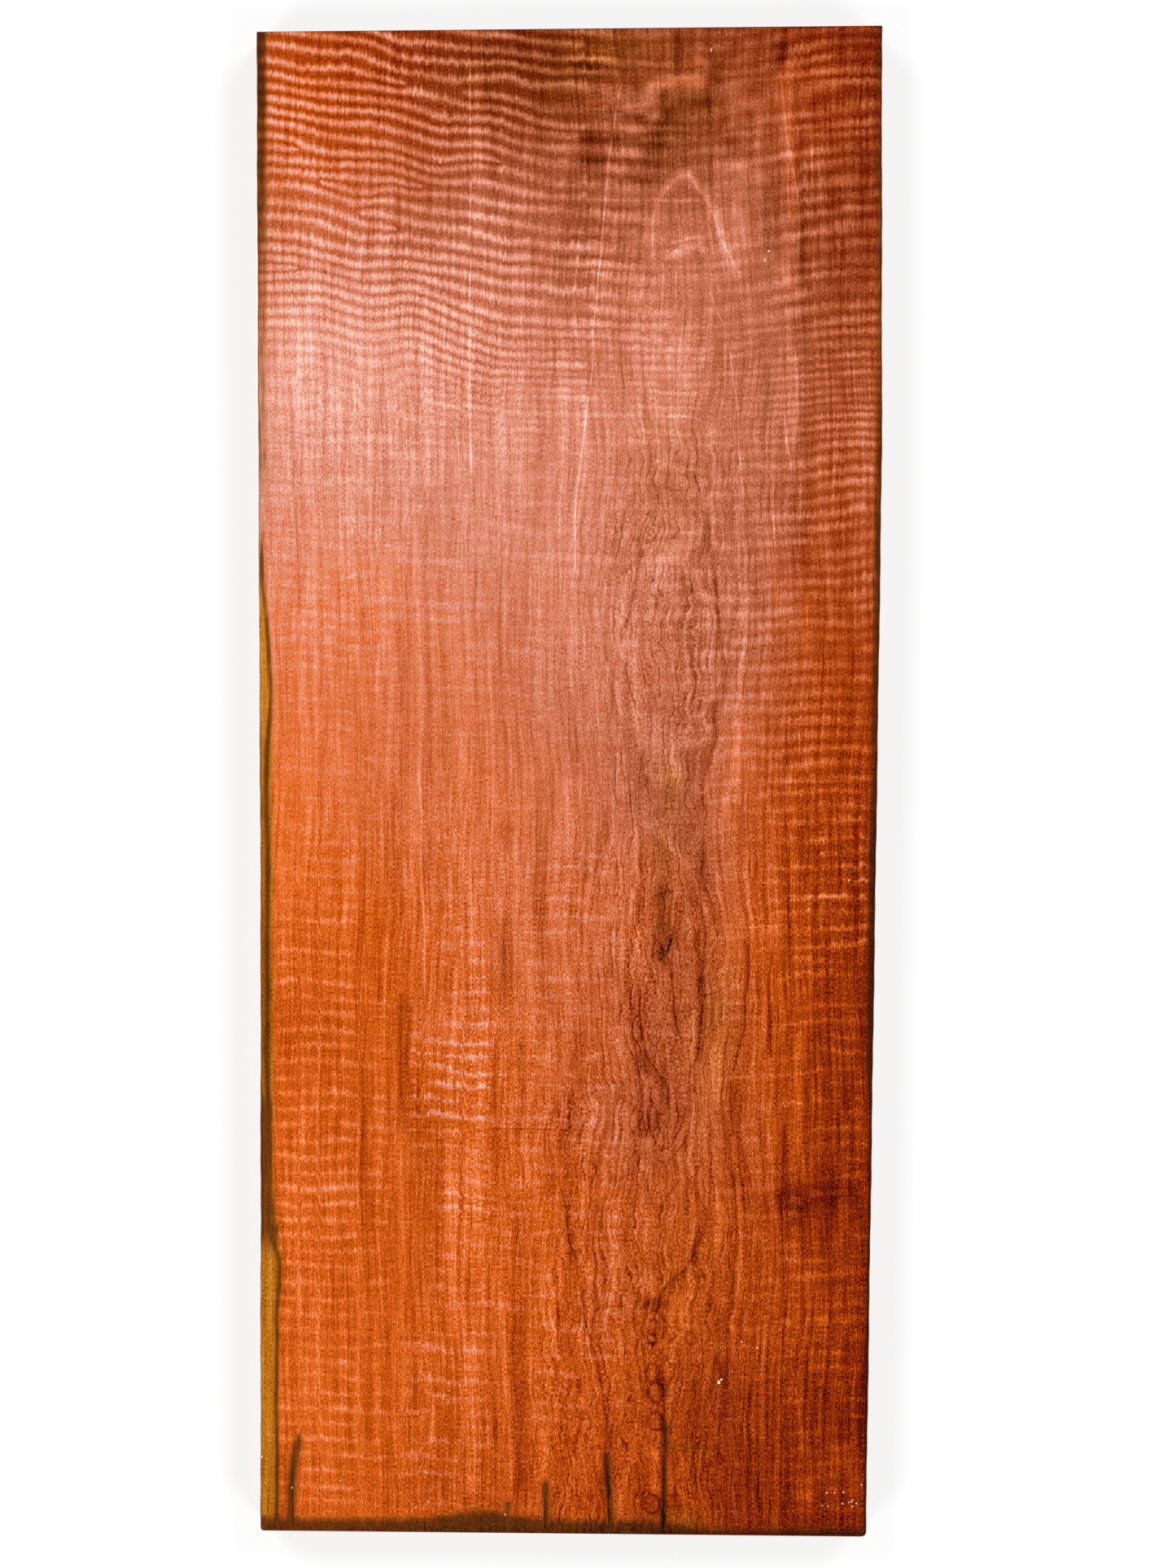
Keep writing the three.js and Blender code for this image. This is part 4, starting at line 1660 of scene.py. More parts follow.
class Shade(Enum):
    """Colours of the wood from dark to light, each at its lightness from 0 to 255."""

    RUST = (
        (20, (60, 8, 1)),
        (38, (98, 15, 1)),
        (65, (140, 39, 2)),
        (84, (162, 58, 8)),
        (108, (194, 80, 12)),
        (123, (218, 92, 14)),
        (143, (239, 113, 36)),
        (165, (250, 138, 82)),
        (205, (255, 184, 150)),
    )
    # Salmon: the wood's pink, and also the colour of the painted reflection that pales the rust.
    SALMON = (
        (22, (52, 14, 2)),
        (52, (104, 35, 4)),
        (74, (130, 55, 20)),
        (103, (163, 83, 50)),
        (120, (182, 99, 66)),
        (140, (207, 115, 85)),
        (154, (222, 131, 101)),
        (178, (235, 157, 135)),
        (211, (254, 195, 176)),
        (240, (255, 232, 220)),
    )
    UMBER = (
        (10, (12, 6, 1)),
        (35, (52, 22, 2)),
        (60, (92, 44, 5)),
        (90, (132, 70, 15)),
        (130, (172, 108, 52)),
        (180, (215, 168, 126)),
    )
    OCHRE = (
        (20, (40, 20, 1)),
        (60, (104, 54, 4)),
        (85, (146, 80, 8)),
        (110, (184, 104, 12)),
        (135, (210, 132, 30)),
        (175, (238, 176, 90)),
    )


@dataclass(frozen=True)
class DressedFace:
    """The planed faces: curly rust and salmon heartwood, with fine fibres, stains, resin lines, a painted
    highlight, painted pink reflection and painted shade in a scratch and a crack.
    """

    name: str = "massaranduba_dressed"
    hair: Point2 = (1.0, 3.2)
    strand: Point2 = (2.4, 45.0)
    streak: Point2 = (5.5, 280.0)
    band: Point2 = (24.0, 800.0)
    contour_gap: float = 9.0
    line_width: float = 1.2
    cross_width: float = 1.5
    sway: float = 0.07
    eye_strength: float = 1.05
    # How many steps of lightness, from 0 to 255, each part of the figure adds or takes
    hair_tone: float = 20.0
    strand_tone: float = 7.0
    streak_tone: float = 7.0
    pore_tone: float = 18.0
    band_tone: float = 3.0
    growth_tone: float = 3.5
    wild_growth_tone: float = 5.0
    zone_tone: float = 3.0
    wild_zone_tone: float = 2.0
    contour_tone: float = 1.5
    wild_contour_tone: float = 38.0
    weft_tone: float = 2.0
    mottle_tone: float = 1.8
    patch_tone: float = 3.0
    grit_tone: float = 5.0
    pale_tone: float = 40.0
    pale_cross_tone: float = 34.0
    dark_tone: float = 42.0
    dark_cross_tone: float = 50.0
    fleck_tone: float = 60.0

    def material(self) -> bpy.types.Material:
        """Builds the material.

        Returns:
            It, with its shader connected.
        """
        g = Graph(self.name, Specular_IOR_Level=0.1)
        x, y, z = g.place()
        wild = g.read(Mark.WILD)
        tilt = g.wander(g.vector(x / 60.0, y / 70.0, 4.0), 2.0)
        mottle = g.wander(g.vector(x / 16.0, y / 24.0, 9.0), 2.0)
        fibre = g.read(Mark.FIBRE) + (tilt * 4.0 + mottle * 1.0) * wild
        loose = g.read(Mark.LOOSE)
        tone = g.read(Mark.TONE)

        def grown(size: Point2, shift: float, detail: float = 1.0) -> Link:
            """Noise drawn out along the fibres, with features of one size."""
            return g.wander(g.vector(fibre / size[0] + shift, y / size[1], z / size[0]), detail)

        hair = grown(self.hair, 0.0, 2.0)
        strand = grown(self.strand, 31.0, 2.0)
        streak = grown(self.streak, 57.0, 2.0)
        band = grown(self.band, 83.0)
        drift = g.wander(g.vector(x / 90.0, y / 30.0, 14.0), 2.0)

        ragged = g.wander(g.vector(fibre / 3.2, y / 70.0, 2.0), 2.0)
        turns = g.read(Mark.CURL) + self._forks(g, x, y)
        patchy = g.wander(g.vector(x / 21.0, y / 9.0, 27.0), 2.0) * loose
        turns = turns + ragged * self.sway + drift * (loose * 0.15 + 0.02)
        turns = turns + patchy * 0.05 + streak * loose * 0.1
        wave = self._wave(g, turns) ** g.read(Mark.CURL_SHARP)
        number = g.node("ShaderNodeMath", {"operation": "ROUND"}, {0: turns})
        each = g.wander(g.vector(x / 65.0, number * 3.7, y / 900.0), 2.0)
        gate = 1.0 + loose * (g.rise(each + streak * 0.3 + patchy * 0.5, -1.3, 1.3) * 2.0 - 1.0)
        ragged_umber = g.read(Mark.UMBER) + strand * 0.12 + streak * 0.08 + hair * 0.08 + mottle * 0.05
        umber = g.rise(ragged_umber, 0.1, 0.9)
        curl = g.read(Mark.CURL_POWER) * wave * gate * (strand * 0.12 + 1.0) * (1.0 - umber * 0.6)

        ring_path = g.read(Mark.RINGS) + tilt * 7.0 * wild + mottle * 2.6 * wild
        growth = g.wander(g.vector(ring_path / 4.4, y / 520.0, x / 400.0), 2.0)
        zone = g.wander(g.vector(ring_path / 17.0, y / 700.0, 3.0), 1.0)
        loops = fibre / self.contour_gap + g.wander(g.vector(x / 26.0, y / 36.0, 17.0), 2.0) * 0.42 * wild
        contour_number = g.node("ShaderNodeMath", {"operation": "ROUND"}, {0: loops})
        beside_contour = (loops - contour_number) * self.contour_gap
        contour_power = g.rise(g.wander(g.vector(contour_number * 3.7, y / 90.0, 5.0), 1.0), -1.0, 1.0)
        contour = (g.line(beside_contour, 1.0) - g.line(beside_contour - 2.2, 1.6) * 0.3) * contour_power

        weft = self._wave(g, y / 9.0 + tilt * 0.9 + ragged * 0.1) * (mottle * 0.6 + 1.0)
        grit = g.wander(g.vector(x / 1.1, y / 1.6, 3.0), 2.0)

        pores = g.rise(g.wander(g.vector(fibre / 0.9 + 5.0, y / 5.0, 13.0)), 1.5, 2.5)
        grain = hair * self.hair_tone + strand * self.strand_tone + streak * self.streak_tone
        grain = grain - pores * self.pore_tone
        light = tone + curl + grain * g.read(Mark.GRAIN) + band * self.band_tone
        light = light + growth * (wild * self.wild_growth_tone + self.growth_tone)
        light = light + zone * (wild * self.wild_zone_tone + self.zone_tone)
        light = light - contour * (wild * self.wild_contour_tone + self.contour_tone)
        light = light + weft * self.weft_tone - self.weft_tone / 2
        light = light + mottle * self.mottle_tone + patchy * self.patch_tone + grit * self.grit_tone

        wobble = tilt * 0.5 + ragged * 0.25
        pale = g.line(g.read(Mark.PALE_SIDE) + wobble, self.line_width) * g.read(Mark.PALE_POWER)
        beside = g.read(Mark.DARK_SIDE) + wobble
        dark = (g.line(beside, 1.3) * 0.8 + g.line(beside + 1.5, 4.5) * 0.2) * g.read(Mark.DARK_POWER)
        eyes = self._eyes(g, x + ragged * 1.3, y + tilt * 4.0) * self.eye_strength
        dark = (dark + eyes) * g.rise(mottle + hair * 0.4, -2.4, 0.4)
        pale_cross = g.line(g.read(Mark.PALE_CROSS) + ragged * 0.4, self.cross_width)
        pale_cross = pale_cross * g.read(Mark.PALE_CROSS_POWER)
        # Dark lines across the grain, with the painted shade of a scratch and a hairline crack.
        dark_cross = g.line(g.read(Mark.DARK_CROSS) + ragged * 0.3, 0.7) * g.read(Mark.DARK_CROSS_POWER)
        light = light + (pale * self.pale_tone + pale_cross * self.pale_cross_tone) * (strand * 0.25 + 1.0)
        light = light - dark * (strand * 0.3 + 1.0) * self.dark_tone - dark_cross * self.dark_cross_tone

        flecks = g.rise(g.wander(g.vector(fibre / 1.2 + 11.0, y / 4.2, 21.0)), 2.4, 2.8)
        light = light + flecks * self.fleck_tone

        ochre = g.read(Mark.OCHRE) * (1.0 + strand * 0.08)
        # Pink: partly the wood's colour, partly painted sheen of the lights, growing where the wood and the
        # curl's crests are lighter.
        blush = g.read(Mark.BLUSH_AND_SHEEN) + curl * g.read(Mark.CURL_BLUSH) + mottle * 0.03
        blush = blush + (light - tone - curl) * g.read(Mark.BLUSH_GAIN)

        colour = g.mix(blush, g.ramp(light, Shade.RUST.value), g.ramp(light, Shade.SALMON.value))
        colour = g.mix(ochre, colour, g.ramp(light * 0.9, Shade.OCHRE.value))
        colour = g.mix(umber, colour, g.ramp(light * (1.0 - 0.48 * umber), Shade.UMBER.value))
        roughness = 0.38 + hair * 0.02 + strand * 0.02 + umber * 0.08
        height = hair * 0.3 + strand * 0.2 + wave * 0.3 - pores
        return g.finish(colour, roughness, height, 0.03)

    @staticmethod
    def _forks(g: Graph, x: Link, y: Link) -> Link:
        """Turns that the forks in the curl add to the count of its stripes.

        Args:
            g: The material's graph.
            x: Place across the board.
            y: Place along it.

        Returns:
            The turns.
        """
        total: Link | float = 0.0
        for fork in FORKS:
            arms = {0: x - fork.place[0], 1: y - fork.place[1]}
            angle = g.node("ShaderNodeMath", {"operation": "ARCTAN2"}, arms)
            total = angle * (fork.turn / (2 * math.pi)) + total
        return total

    @staticmethod
    def _eyes(g: Graph, x: Link, y: Link) -> Link:
        """Strength of the dark rings round the small eyes in the grain.

        Args:
            g: The material's graph.
            x: Place across the board.
            y: Place along it.

        Returns:
            The strength.
        """
        total: Link | float = 0.0
        for eye in EYES:
            place = g.vector((x - eye.place[0]) / eye.across, (y - eye.place[1]) / eye.along, 0.0)
            radius = g.node("ShaderNodeVectorMath", {"operation": "LENGTH"}, {0: place}, out="Value")
            ring = g.line((radius - 1.0) * eye.across, 1.6)
            for inner in range(1, eye.rings):
                ring = g.line((radius - inner / eye.rings) * eye.across, 1.2) + ring
            total = ring * eye.power + total
        return total

    @staticmethod
    def _wave(g: Graph, turns: Link) -> Link:
        """Wave from 0 to 1 that crests at every whole turn."""
        return g.node("ShaderNodeMath", {"operation": "COSINE"}, {0: turns * (2 * math.pi)}) * 0.499 + 0.5


@dataclass(frozen=True)
class EndGrain:
    """The crosscut ends: dark, with rings, pores and saw marks."""

    name: str = "massaranduba_end_grain"
    tone: float = 66.0
    pore_tone: float = 22.0
    pit_depth: float = 0.12

    def material(self) -> bpy.types.Material:
        """Builds the material.

        Returns:
            It, with its shader connected.
        """
        g = Graph(self.name, Specular_IOR_Level=0.3)
        x, y, z = g.place()
        rings = g.read(Mark.RINGS)
        growth = g.wander(g.vector(rings / 2.4, 1.0, 2.0), 2.0)
        broad = g.wander(g.vector(rings / 14.0, 5.0, 2.0), 1.0)
        pores = g.rise(g.wander(g.vector(x / 0.9, y / 0.9, z / 0.9)), 1.3, 2.4)
        blotch = g.wander(g.vector(x / 30.0, y / 30.0, z / 14.0), 3.0)
        saw = g.wander(g.vector(x / 1.2 + z * 0.5, 3.0, z / 40.0), 1.0)
        light = self.tone + growth * 6.0 + broad * 5.0 + blotch * 6.0 + saw * 3.0 - pores * self.pore_tone
        warm = g.ramp(light, Shade.RUST.value)
        brown = g.ramp(light, Shade.UMBER.value)
        colour = g.mix(g.rise(blotch, -2.2, 1.6) * 0.6 + 0.3, warm, brown)
        height = saw * 0.4 - pores
        return g.finish(colour, 0.68 + growth * 0.03, height, self.pit_depth)


@dataclass(frozen=True)
class SawnEdge:
    """The long edges: brown with saw marks, and golden where the sapwood reaches them."""

    name: str = "massaranduba_sawn"
    tone: float = 58.0
    sapwood_tone: float = 30.0
    kerf_slant: float = 0.12
    kerf_depth: float = 0.18

    def material(self) -> bpy.types.Material:
        """Builds the material.

        Returns:
            It, with its shader connected.
        """
        g = Graph(self.name, Specular_IOR_Level=0.3)
        x, y, z = g.place()
        strand = g.wander(g.vector(x / 3.0, y / 60.0, z / 2.6), 2.0)
        hair = g.wander(g.vector(x / 1.4, y / 12.0, z / 1.3), 1.0)
        blotch = g.wander(g.vector(x / 60.0, y / 120.0, z / 24.0), 3.0)
        kerf = g.wander(g.vector(0.5, (y + z * self.kerf_slant) / 1.7, 2.0), 2.0)
        sweep = g.wander(g.vector(0.5, (y + z * self.kerf_slant) / 21.0, 6.0), 1.0)
        left = g.rise(x, 20.0, -20.0)
        light = self.tone + left * self.sapwood_tone + strand * 7.0 + hair * 5.0 + blotch * 8.0
        light = light + kerf * 5.0 + sweep * 4.0
        ochre = g.rise(g.read(Mark.OCHRE), 0.3, 0.7) * left
        warm = g.ramp(light, Shade.RUST.value)
        brown = g.ramp(light, Shade.UMBER.value)
        heart = g.mix(g.rise(blotch, -2.0, 2.0) * 0.5 + 0.35, warm, brown)
        colour = g.mix(ochre * 0.9, heart, g.ramp(light + 4.0, Shade.OCHRE.value))
        height = kerf * 0.5 + sweep * 0.4 + hair * 0.2
        return g.finish(colour, 0.72 + strand * 0.03, height, self.kerf_depth)


@dataclass(frozen=True)
class HoleWall:
    """The walls of pinholes, splits and checks: painted shade, near black deep inside and a little lighter at
    the mouth.
    """

    name: str = "massaranduba_hole"
    lit_mouth_tone: float = 18.0
    shaded_inner_tone: float = 12.0
    mouth: Point2 = (44.0, 50.0)

    def material(self) -> bpy.types.Material:
        """Builds the material.

        Returns:
            It, with its shader connected.
        """
        g = Graph(self.name, Specular_IOR_Level=0.03)
        x, y, z = g.place()
        grain = g.wander(g.vector(x / 1.1, y / 6.0, z / 1.1), 2.0)
        # Painted shade: the walls are lighter near the mouth at the show face and near black below it.
        depth = g.rise(z, *self.mouth)
        light = self.shaded_inner_tone + depth * self.lit_mouth_tone + grain * 5.0
        return g.finish(g.ramp(light, Shade.UMBER.value), 0.85 + grain * 0.02)


@dataclass(frozen=True)
class PaleDust:
    """Cream sawdust."""

    name: str = "pale_dust"
    tone: float = 200.0
    shades: Stops = ((100, (210, 150, 85)), (160, (250, 216, 160)), (220, (255, 244, 215)))

    def material(self) -> bpy.types.Material:
        """Builds the material.

        Returns:
            It, with its shader connected.
        """
        g = Graph(self.name, Specular_IOR_Level=0.2)
        x, y, z = g.place()
        grain = g.wander(g.vector(x / 2.0, y / 5.0, z), 2.0)
        return g.finish(g.ramp(self.tone + grain * 16.0, self.shades), 0.85 + grain * 0.02)


# The pieces


class Region(Enum):
    """Parts of the slab's surface, each with the number of its finish."""

    FACE = 0
    BACK = 1
    EDGE = 2
    END = 3
    HOLE = 4

    @property
    def slot(self) -> int:
        """Number of the finish: both planed faces share one."""
        return (0, 0, 1, 2, 3)[self.value]


@dataclass
class Slab:
    """The slab itself, one dense mesh in place of the plain board."""

    board: Board
    damage: Damage = field(default_factory=Damage)
    across_spans: tuple[Point2, ...] = ((0.46, 3.6), (0.79, 2.3), (1.0, 3.6))
    along_spans: tuple[Point2, ...] = ((1.0, 6.6),)
    rim_steps: tuple[float, ...] = (1.1, 1.4, 1.8, 2.2, 2.6)
    arris: float = 1.0
    arris_shoulder: Point2 = (0.22, 0.38)  # down from the face and in from the edge, as shares of the arris
    arris_foot: float = 0.8
    wall_end: float = 6.0
    wall_rings: int = 7
    back_step: float = 16.0
    back_inset: float = 10.0
    planer_wave: float = 0.04
    level_normal: float = 0.99
    wall_reach: float = 1.5
    wall_corner: float = 12.0

    def build(self) -> bpy.types.Object:
        """Makes the piece.

        Returns:
            The slab, dressed, riding on its body and standing for the plain board.
        """
        mesh = self._sound_board().mesh("slab_wood")
        piece = bpy.data.objects.new("slab_wood", mesh)
        bpy.context.collection.objects.link(piece)
        self._cut(piece)
        self._mark(piece.data)
        self._dress(piece.data)
        self._lay_map(piece.data)
        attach(piece, BODY)
        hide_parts("slab")
        return piece

    def _sound_board(self) -> Shell:
        """The board before anything is cut out of it.

        Returns:
            Its shell.
        """
        board, shell = self.board, Shell()
        across = ribs(board.width, self.rim_steps, self.across_spans)
        along = ribs(board.length, self.rim_steps, self.along_spans)
        s, t = np.meshgrid(across, along)
        x, y = board.plan(s, t, self.arris)
        top = shell.add_points(x, y, board.thickness - self._hollows(x, y))
        shell.add_grid(top)
        s_rim, t_rim = border(s), border(t)
        upper = border(top)
        for z, inset in self._section():
            ring_x, ring_y = board.plan(s_rim, t_rim, inset)
            lower = shell.add_points(ring_x, ring_y, z)
            shell.add_wall(upper, lower)
            upper = lower
        self._close_back(shell, s, upper)
        return shell

    def _section(self) -> list[tuple[float, float]]:
        """Draws the rim's rings, from under the show face's arris down to the back.

        Returns:
            Each ring's height and how far inside the outline it lies.
        """
        tall, arris = self.board.thickness, self.arris
        down, inset = self.arris_shoulder
        rounded = [(tall - down * arris, inset * arris), (tall - self.arris_foot * arris, 0.0)]
        heights = np.linspace(tall - self.wall_end, self.wall_end, self.wall_rings)
        walls = [(float(z), 0.0) for z in heights]
        eased = [(self.arris_foot * arris, 0.0), (down * arris, inset * arris), (0.0, arris)]
        return rounded + walls + eased

    def _close_back(self, shell: Shell, s: Array, rim: Array) -> None:
        """Adds the back, a coarser grid joined to the rim's last ring.

        Args:
            shell: The board so far.
            s: Fractions across the board of the show face's grid.
            rim: Vertex numbers of the rim's last ring.
        """
        board = self.board
        back_s, back_t = np.meshgrid(
            np.linspace(0.0, 1.0, round(board.width / self.back_step)),
            np.linspace(0.0, 1.0, round(board.length / self.back_step)),
        )
        x, y = board.plan(back_s, back_t, self.back_inset)
        back = shell.add_points(x, y, 0.0)
        shell.add_grid(back, flip=True)
        wide, tall = s.shape[1] - 1, s.shape[0] - 1
        starts = np.cumsum([0, wide, tall, wide])
        closed = np.append(rim, rim[0])
        for start, length, inner in zip(starts, (wide, tall, wide, tall), rim_sides(back), strict=True):
            shell.add_seam(closed[start : start + length + 1], inner)

    def _hollows(self, x: Array, y: Array) -> Array:
        """Depth of the shallow waves that the planer left in the show face.

        Args:
            x: Places across the board.
            y: Places along it.

        Returns:
            The depth at each place.
        """
        waves = np.sin(x / 41.0 + y / 160.0) + np.sin(y / 73.0 - x / 95.0)
        return self.planer_wave * (2.0 + waves)

    def _cut(self, piece: bpy.types.Object) -> None:
        """Cuts the pinholes, the split and the checks.

        Args:
            piece: The sound board.
        """
        cutter = bpy.data.objects.new("cutter", self.damage.cutter(self.board))
        bpy.context.collection.objects.link(cutter)
        cut = piece.modifiers.new("damage", "BOOLEAN")
        cut.operation = "DIFFERENCE"
        cut.solver = "EXACT"
        cut.object = cutter
        shaped = bpy.data.meshes.new_from_object(piece.evaluated_get(bpy.context.evaluated_depsgraph_get()))
        piece.modifiers.clear()
        plain = piece.data
        piece.data = shaped
        shaped.name = "slab_wood"
        bpy.data.meshes.remove(plain)
        bpy.data.meshes.remove(cutter.data)

    def _mark(self, mesh: bpy.types.Mesh) -> None:
        """Writes the figure's numbers on the vertices.

        Args:
            mesh: The cut board.
        """
        points = np.empty(len(mesh.vertices) * 3, np.float32)
        mesh.vertices.foreach_get("co", points)
        x, y, z = (points.reshape(-1, 3).astype(float) / MM).T
        for mark, values in Figure(self.board).marks(x, y, z).items():
            layer = mesh.attributes.new(mark.value, "FLOAT", "POINT")
            layer.data.foreach_set("value", values.astype(np.float32))

    def _faces(self, mesh: bpy.types.Mesh) -> tuple[Array, Array]:
        """Reads the places, in millimetres, and the directions of the faces.

        Args:
            mesh: The cut board.

        Returns:
            The centres and the normals.
        """
        centres = np.empty(len(mesh.polygons) * 3, np.float32)
        normals = np.empty_like(centres)
        mesh.polygons.foreach_get("center", centres)
        mesh.polygons.foreach_get("normal", normals)
        return centres.reshape(-1, 3).astype(float) / MM, normals.reshape(-1, 3).astype(float)

    def _regions(self, mesh: bpy.types.Mesh) -> Array:
        """Sorts the faces by the part of the surface that they lie on.

        Args:
            mesh: The cut board.

        Returns:
            The Region's number of each face.
        """
        centres, normals = self._faces(mesh)
        x, y, z = centres.T
        board = self.board
        beside = np.minimum(x - board.left(y), board.right(y) - x)
        beyond = np.minimum(y - board.foot(x), board.head(x) - y)
        inside = np.minimum(beside, beyond) > self.arris + 0.2
        region = np.where(beyond < beside, Region.END.value, Region.EDGE.value)
        region = np.where(inside, Region.HOLE.value, region)
        upward = (normals[:, 2] > self.level_normal) & (z > board.thickness - 0.3)
        downward = (normals[:, 2] < -self.level_normal) & (z < 0.01)
        region = np.where(upward, Region.FACE.value, region)
        region = np.where(downward, Region.BACK.value, region)
        sideways = np.abs(normals[:, 0]) > 0.5
        walls = inside | (sideways & (beyond < self.wall_reach) & (beside > self.wall_corner))
        return np.where(walls & (region == Region.END.value), Region.HOLE.value, region)

    def _dress(self, mesh: bpy.types.Mesh) -> None:
        """Gives each region its finish.

        Args:
            mesh: The cut board.
        """
        for finish in (DressedFace(), SawnEdge(), EndGrain(), HoleWall()):
            mesh.materials.append(finish.material())
        slots = np.array([Region(i).slot for i in range(len(Region))])
        mesh.polygons.foreach_set("material_index", slots[self._regions(mesh)])
        mesh.polygons.foreach_set("use_smooth", np.zeros(len(mesh.polygons), bool))
        mesh.update()

    def _lay_map(self, mesh: bpy.types.Mesh) -> None:
        """Lays the OFBake map, with most of it given to the show face.

        Args:
            mesh: The cut board.
        """
        counts = np.empty(len(mesh.polygons), np.int32)
        mesh.polygons.foreach_get("loop_total", counts)
        region = np.repeat(self._regions(mesh), counts)
        corner_vertex = np.empty(len(mesh.loops), np.int32)
        mesh.loops.foreach_get("vertex_index", corner_vertex)
        points = np.empty(len(mesh.vertices) * 3, np.float32)
        mesh.vertices.foreach_get("co", points)
        x, y, z = (points.reshape(-1, 3)[corner_vertex].astype(float) / MM).T
        centres, _ = self._faces(mesh)
        centre_x, centre_y = np.repeat(centres[:, 0], counts), np.repeat(centres[:, 1], counts)
        wide, long, tall = self.board.width, self.board.length, self.board.thickness
        across, along, up = x / wide + 0.5, y / long + 0.5, z / tall
        u, v = np.empty_like(x), np.empty_like(x)
        edge, end = region == Region.EDGE.value, region == Region.END.value
        boxes = (
            (region == Region.FACE.value, (0.003, 0.003), (0.650, 0.994), across, along),
            (region == Region.BACK.value, (0.660, 0.003), (0.236, 0.994), across, along),
            (edge & (centre_x < 0), (0.902, 0.003), (0.024, 0.994), up, along),
            (edge & (centre_x > 0), (0.932, 0.003), (0.024, 0.994), up, along),
            (end & (centre_y < 0), (0.962, 0.003), (0.022, 0.490), up, across),
            (end & (centre_y > 0), (0.962, 0.507), (0.022, 0.490), up, across),
        )
        for chosen, low, size, first, second in boxes:
            u[chosen] = low[0] + size[0] * first[chosen]
            v[chosen] = low[1] + size[1] * second[chosen]
        self._place_holes(mesh, region == Region.HOLE.value, counts, u, v)
        layer = mesh.uv_layers.new(name="OFBake")
        layer.data.foreach_set("uv", np.stack([u, v], axis=1).ravel().astype(np.float32))

    @staticmethod
    def _place_holes(mesh: bpy.types.Mesh, chosen: Array, counts: Array, u: Array, v: Array) -> None:
        """Gives each face of a hole's wall a small cell of its own in the map.

        Args:
            mesh: The cut board.
            chosen: Whether each corner belongs to a hole's wall.
            counts: How many corners each face has.
            u: Places across the map, which are changed.
            v: Places up the map, which are changed.
        """
        starts = np.concatenate([[0], np.cumsum(counts)[:-1]])
        faces = np.flatnonzero(chosen[starts])
        columns, cell, filled = 3, 0.0036, 0.4
        first_u, first_v = 0.9885, 0.004
        for number, face in enumerate(faces):
            start, count = starts[face], counts[face]
            turn = 2 * np.pi * np.arange(count) / count
            middle_u = first_u + cell * (number % columns)
            middle_v = first_v + cell * (number // columns)
            u[start : start + count] = middle_u + filled * cell * np.cos(turn)
            v[start : start + count] = middle_v + filled * cell * np.sin(turn)


@dataclass
class Dust:
    """Pale specks of sawdust lying on the show face."""

    board: Board
    seed: int = 7
    sides: int = 7
    ragged: Point2 = (0.7, 1.15)
    height: Point2 = (0.2, 0.45)
    sunk: float = 0.3
    chipped: float = 0.7
    specks: tuple[tuple[float, float, float, float], ...] = (
        (172.5, 889.0, 2.0, 5.0), (242.5, 644.5, 4.0, 3.0), (238.0, 633.0, 2.0, 5.0),
        (-156.9, 753.0, 1.4, 6.0), (135.1, 93.5, 2.0, 2.4), (340.1, -120.5, 2.0, 2.6),
        (209.8, -681.9, 2.0, 3.0), (228.7, -689.0, 2.2, 2.6), (182.0, -731.0, 5.0, 6.0),
        (185.1, -727.5, 2.6, 3.6), (-373.8, -821.4, 2.2, 3.4), (-337.1, -859.2, 2.2, 2.6),
        (-278.2, -850.2, 3.4, 1.6), (-173.4, -841.0, 2.2, 2.2), (-171.3, -876.1, 2.0, 3.0),
        (-186.6, -883.6, 2.2, 2.2), (-77.9, -892.1, 2.0, 2.8), (313.2, -865.5, 2.0, 2.4),
        (322.4, -865.5, 1.8, 2.4), (333.6, -864.9, 2.6, 2.6), (332.5, -878.7, 2.4, 2.2),
        (340.3, -877.2, 2.0, 2.0), (343.3, -875.9, 2.0, 2.6), (344.8, -874.1, 2.0, 2.0),
        (349.3, -878.1, 2.2, 2.6), (344.5, -882.2, 1.8, 2.0), (307.9, -881.0, 1.8, 2.0),
        (314.7, -881.7, 1.8, 2.0), (355.5, -855.7, 2.4, 2.0),
    )

    def build(self) -> bpy.types.Object:
        """Makes the piece, one mesh of small closed grains.

        Returns:
            The grains, riding on the slab's body.
        """
        rng = np.random.default_rng(self.seed)
        shell = Shell()
        for x, y, wide, long in self.specks:
            self._add_grain(shell, x, y, wide, long, rng)
        piece = bpy.data.objects.new("sawdust", shell.mesh("sawdust"))
        bpy.context.collection.objects.link(piece)
        piece.data.materials.append(PaleDust().material())
        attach(piece, BODY)
        return piece

    def _add_grain(
        self, shell: Shell, x: float, y: float, wide: float, long: float, rng: np.random.Generator
    ) -> None:
        """Adds a flat, chipped grain that lies on the face.

        Args:
            shell: The grains so far.
            x: The grain's place across the board.
            y: Its place along it.
            wide: Its width.
            long: Its length.
            rng: Source of its raggedness.
        """
        turn = np.linspace(0.0, 2 * np.pi, self.sides, endpoint=False)
        ragged = rng.uniform(*self.ragged, turn.size)
        rim_x = x + 0.5 * wide * ragged * np.cos(turn)
        rim_y = y + 0.5 * long * ragged * np.sin(turn)
        top = self.board.thickness
        low = shell.add_points(rim_x, rim_y, top - self.sunk)
        top_x, top_y = x + (rim_x - x) * self.chipped, y + (rim_y - y) * self.chipped
        high = shell.add_points(top_x, top_y, top + rng.uniform(*self.height))
        shell.add_wall(high, low)
        shell.faces.append(high.tolist())
        shell.faces.append(low[::-1].tolist())


# The studio


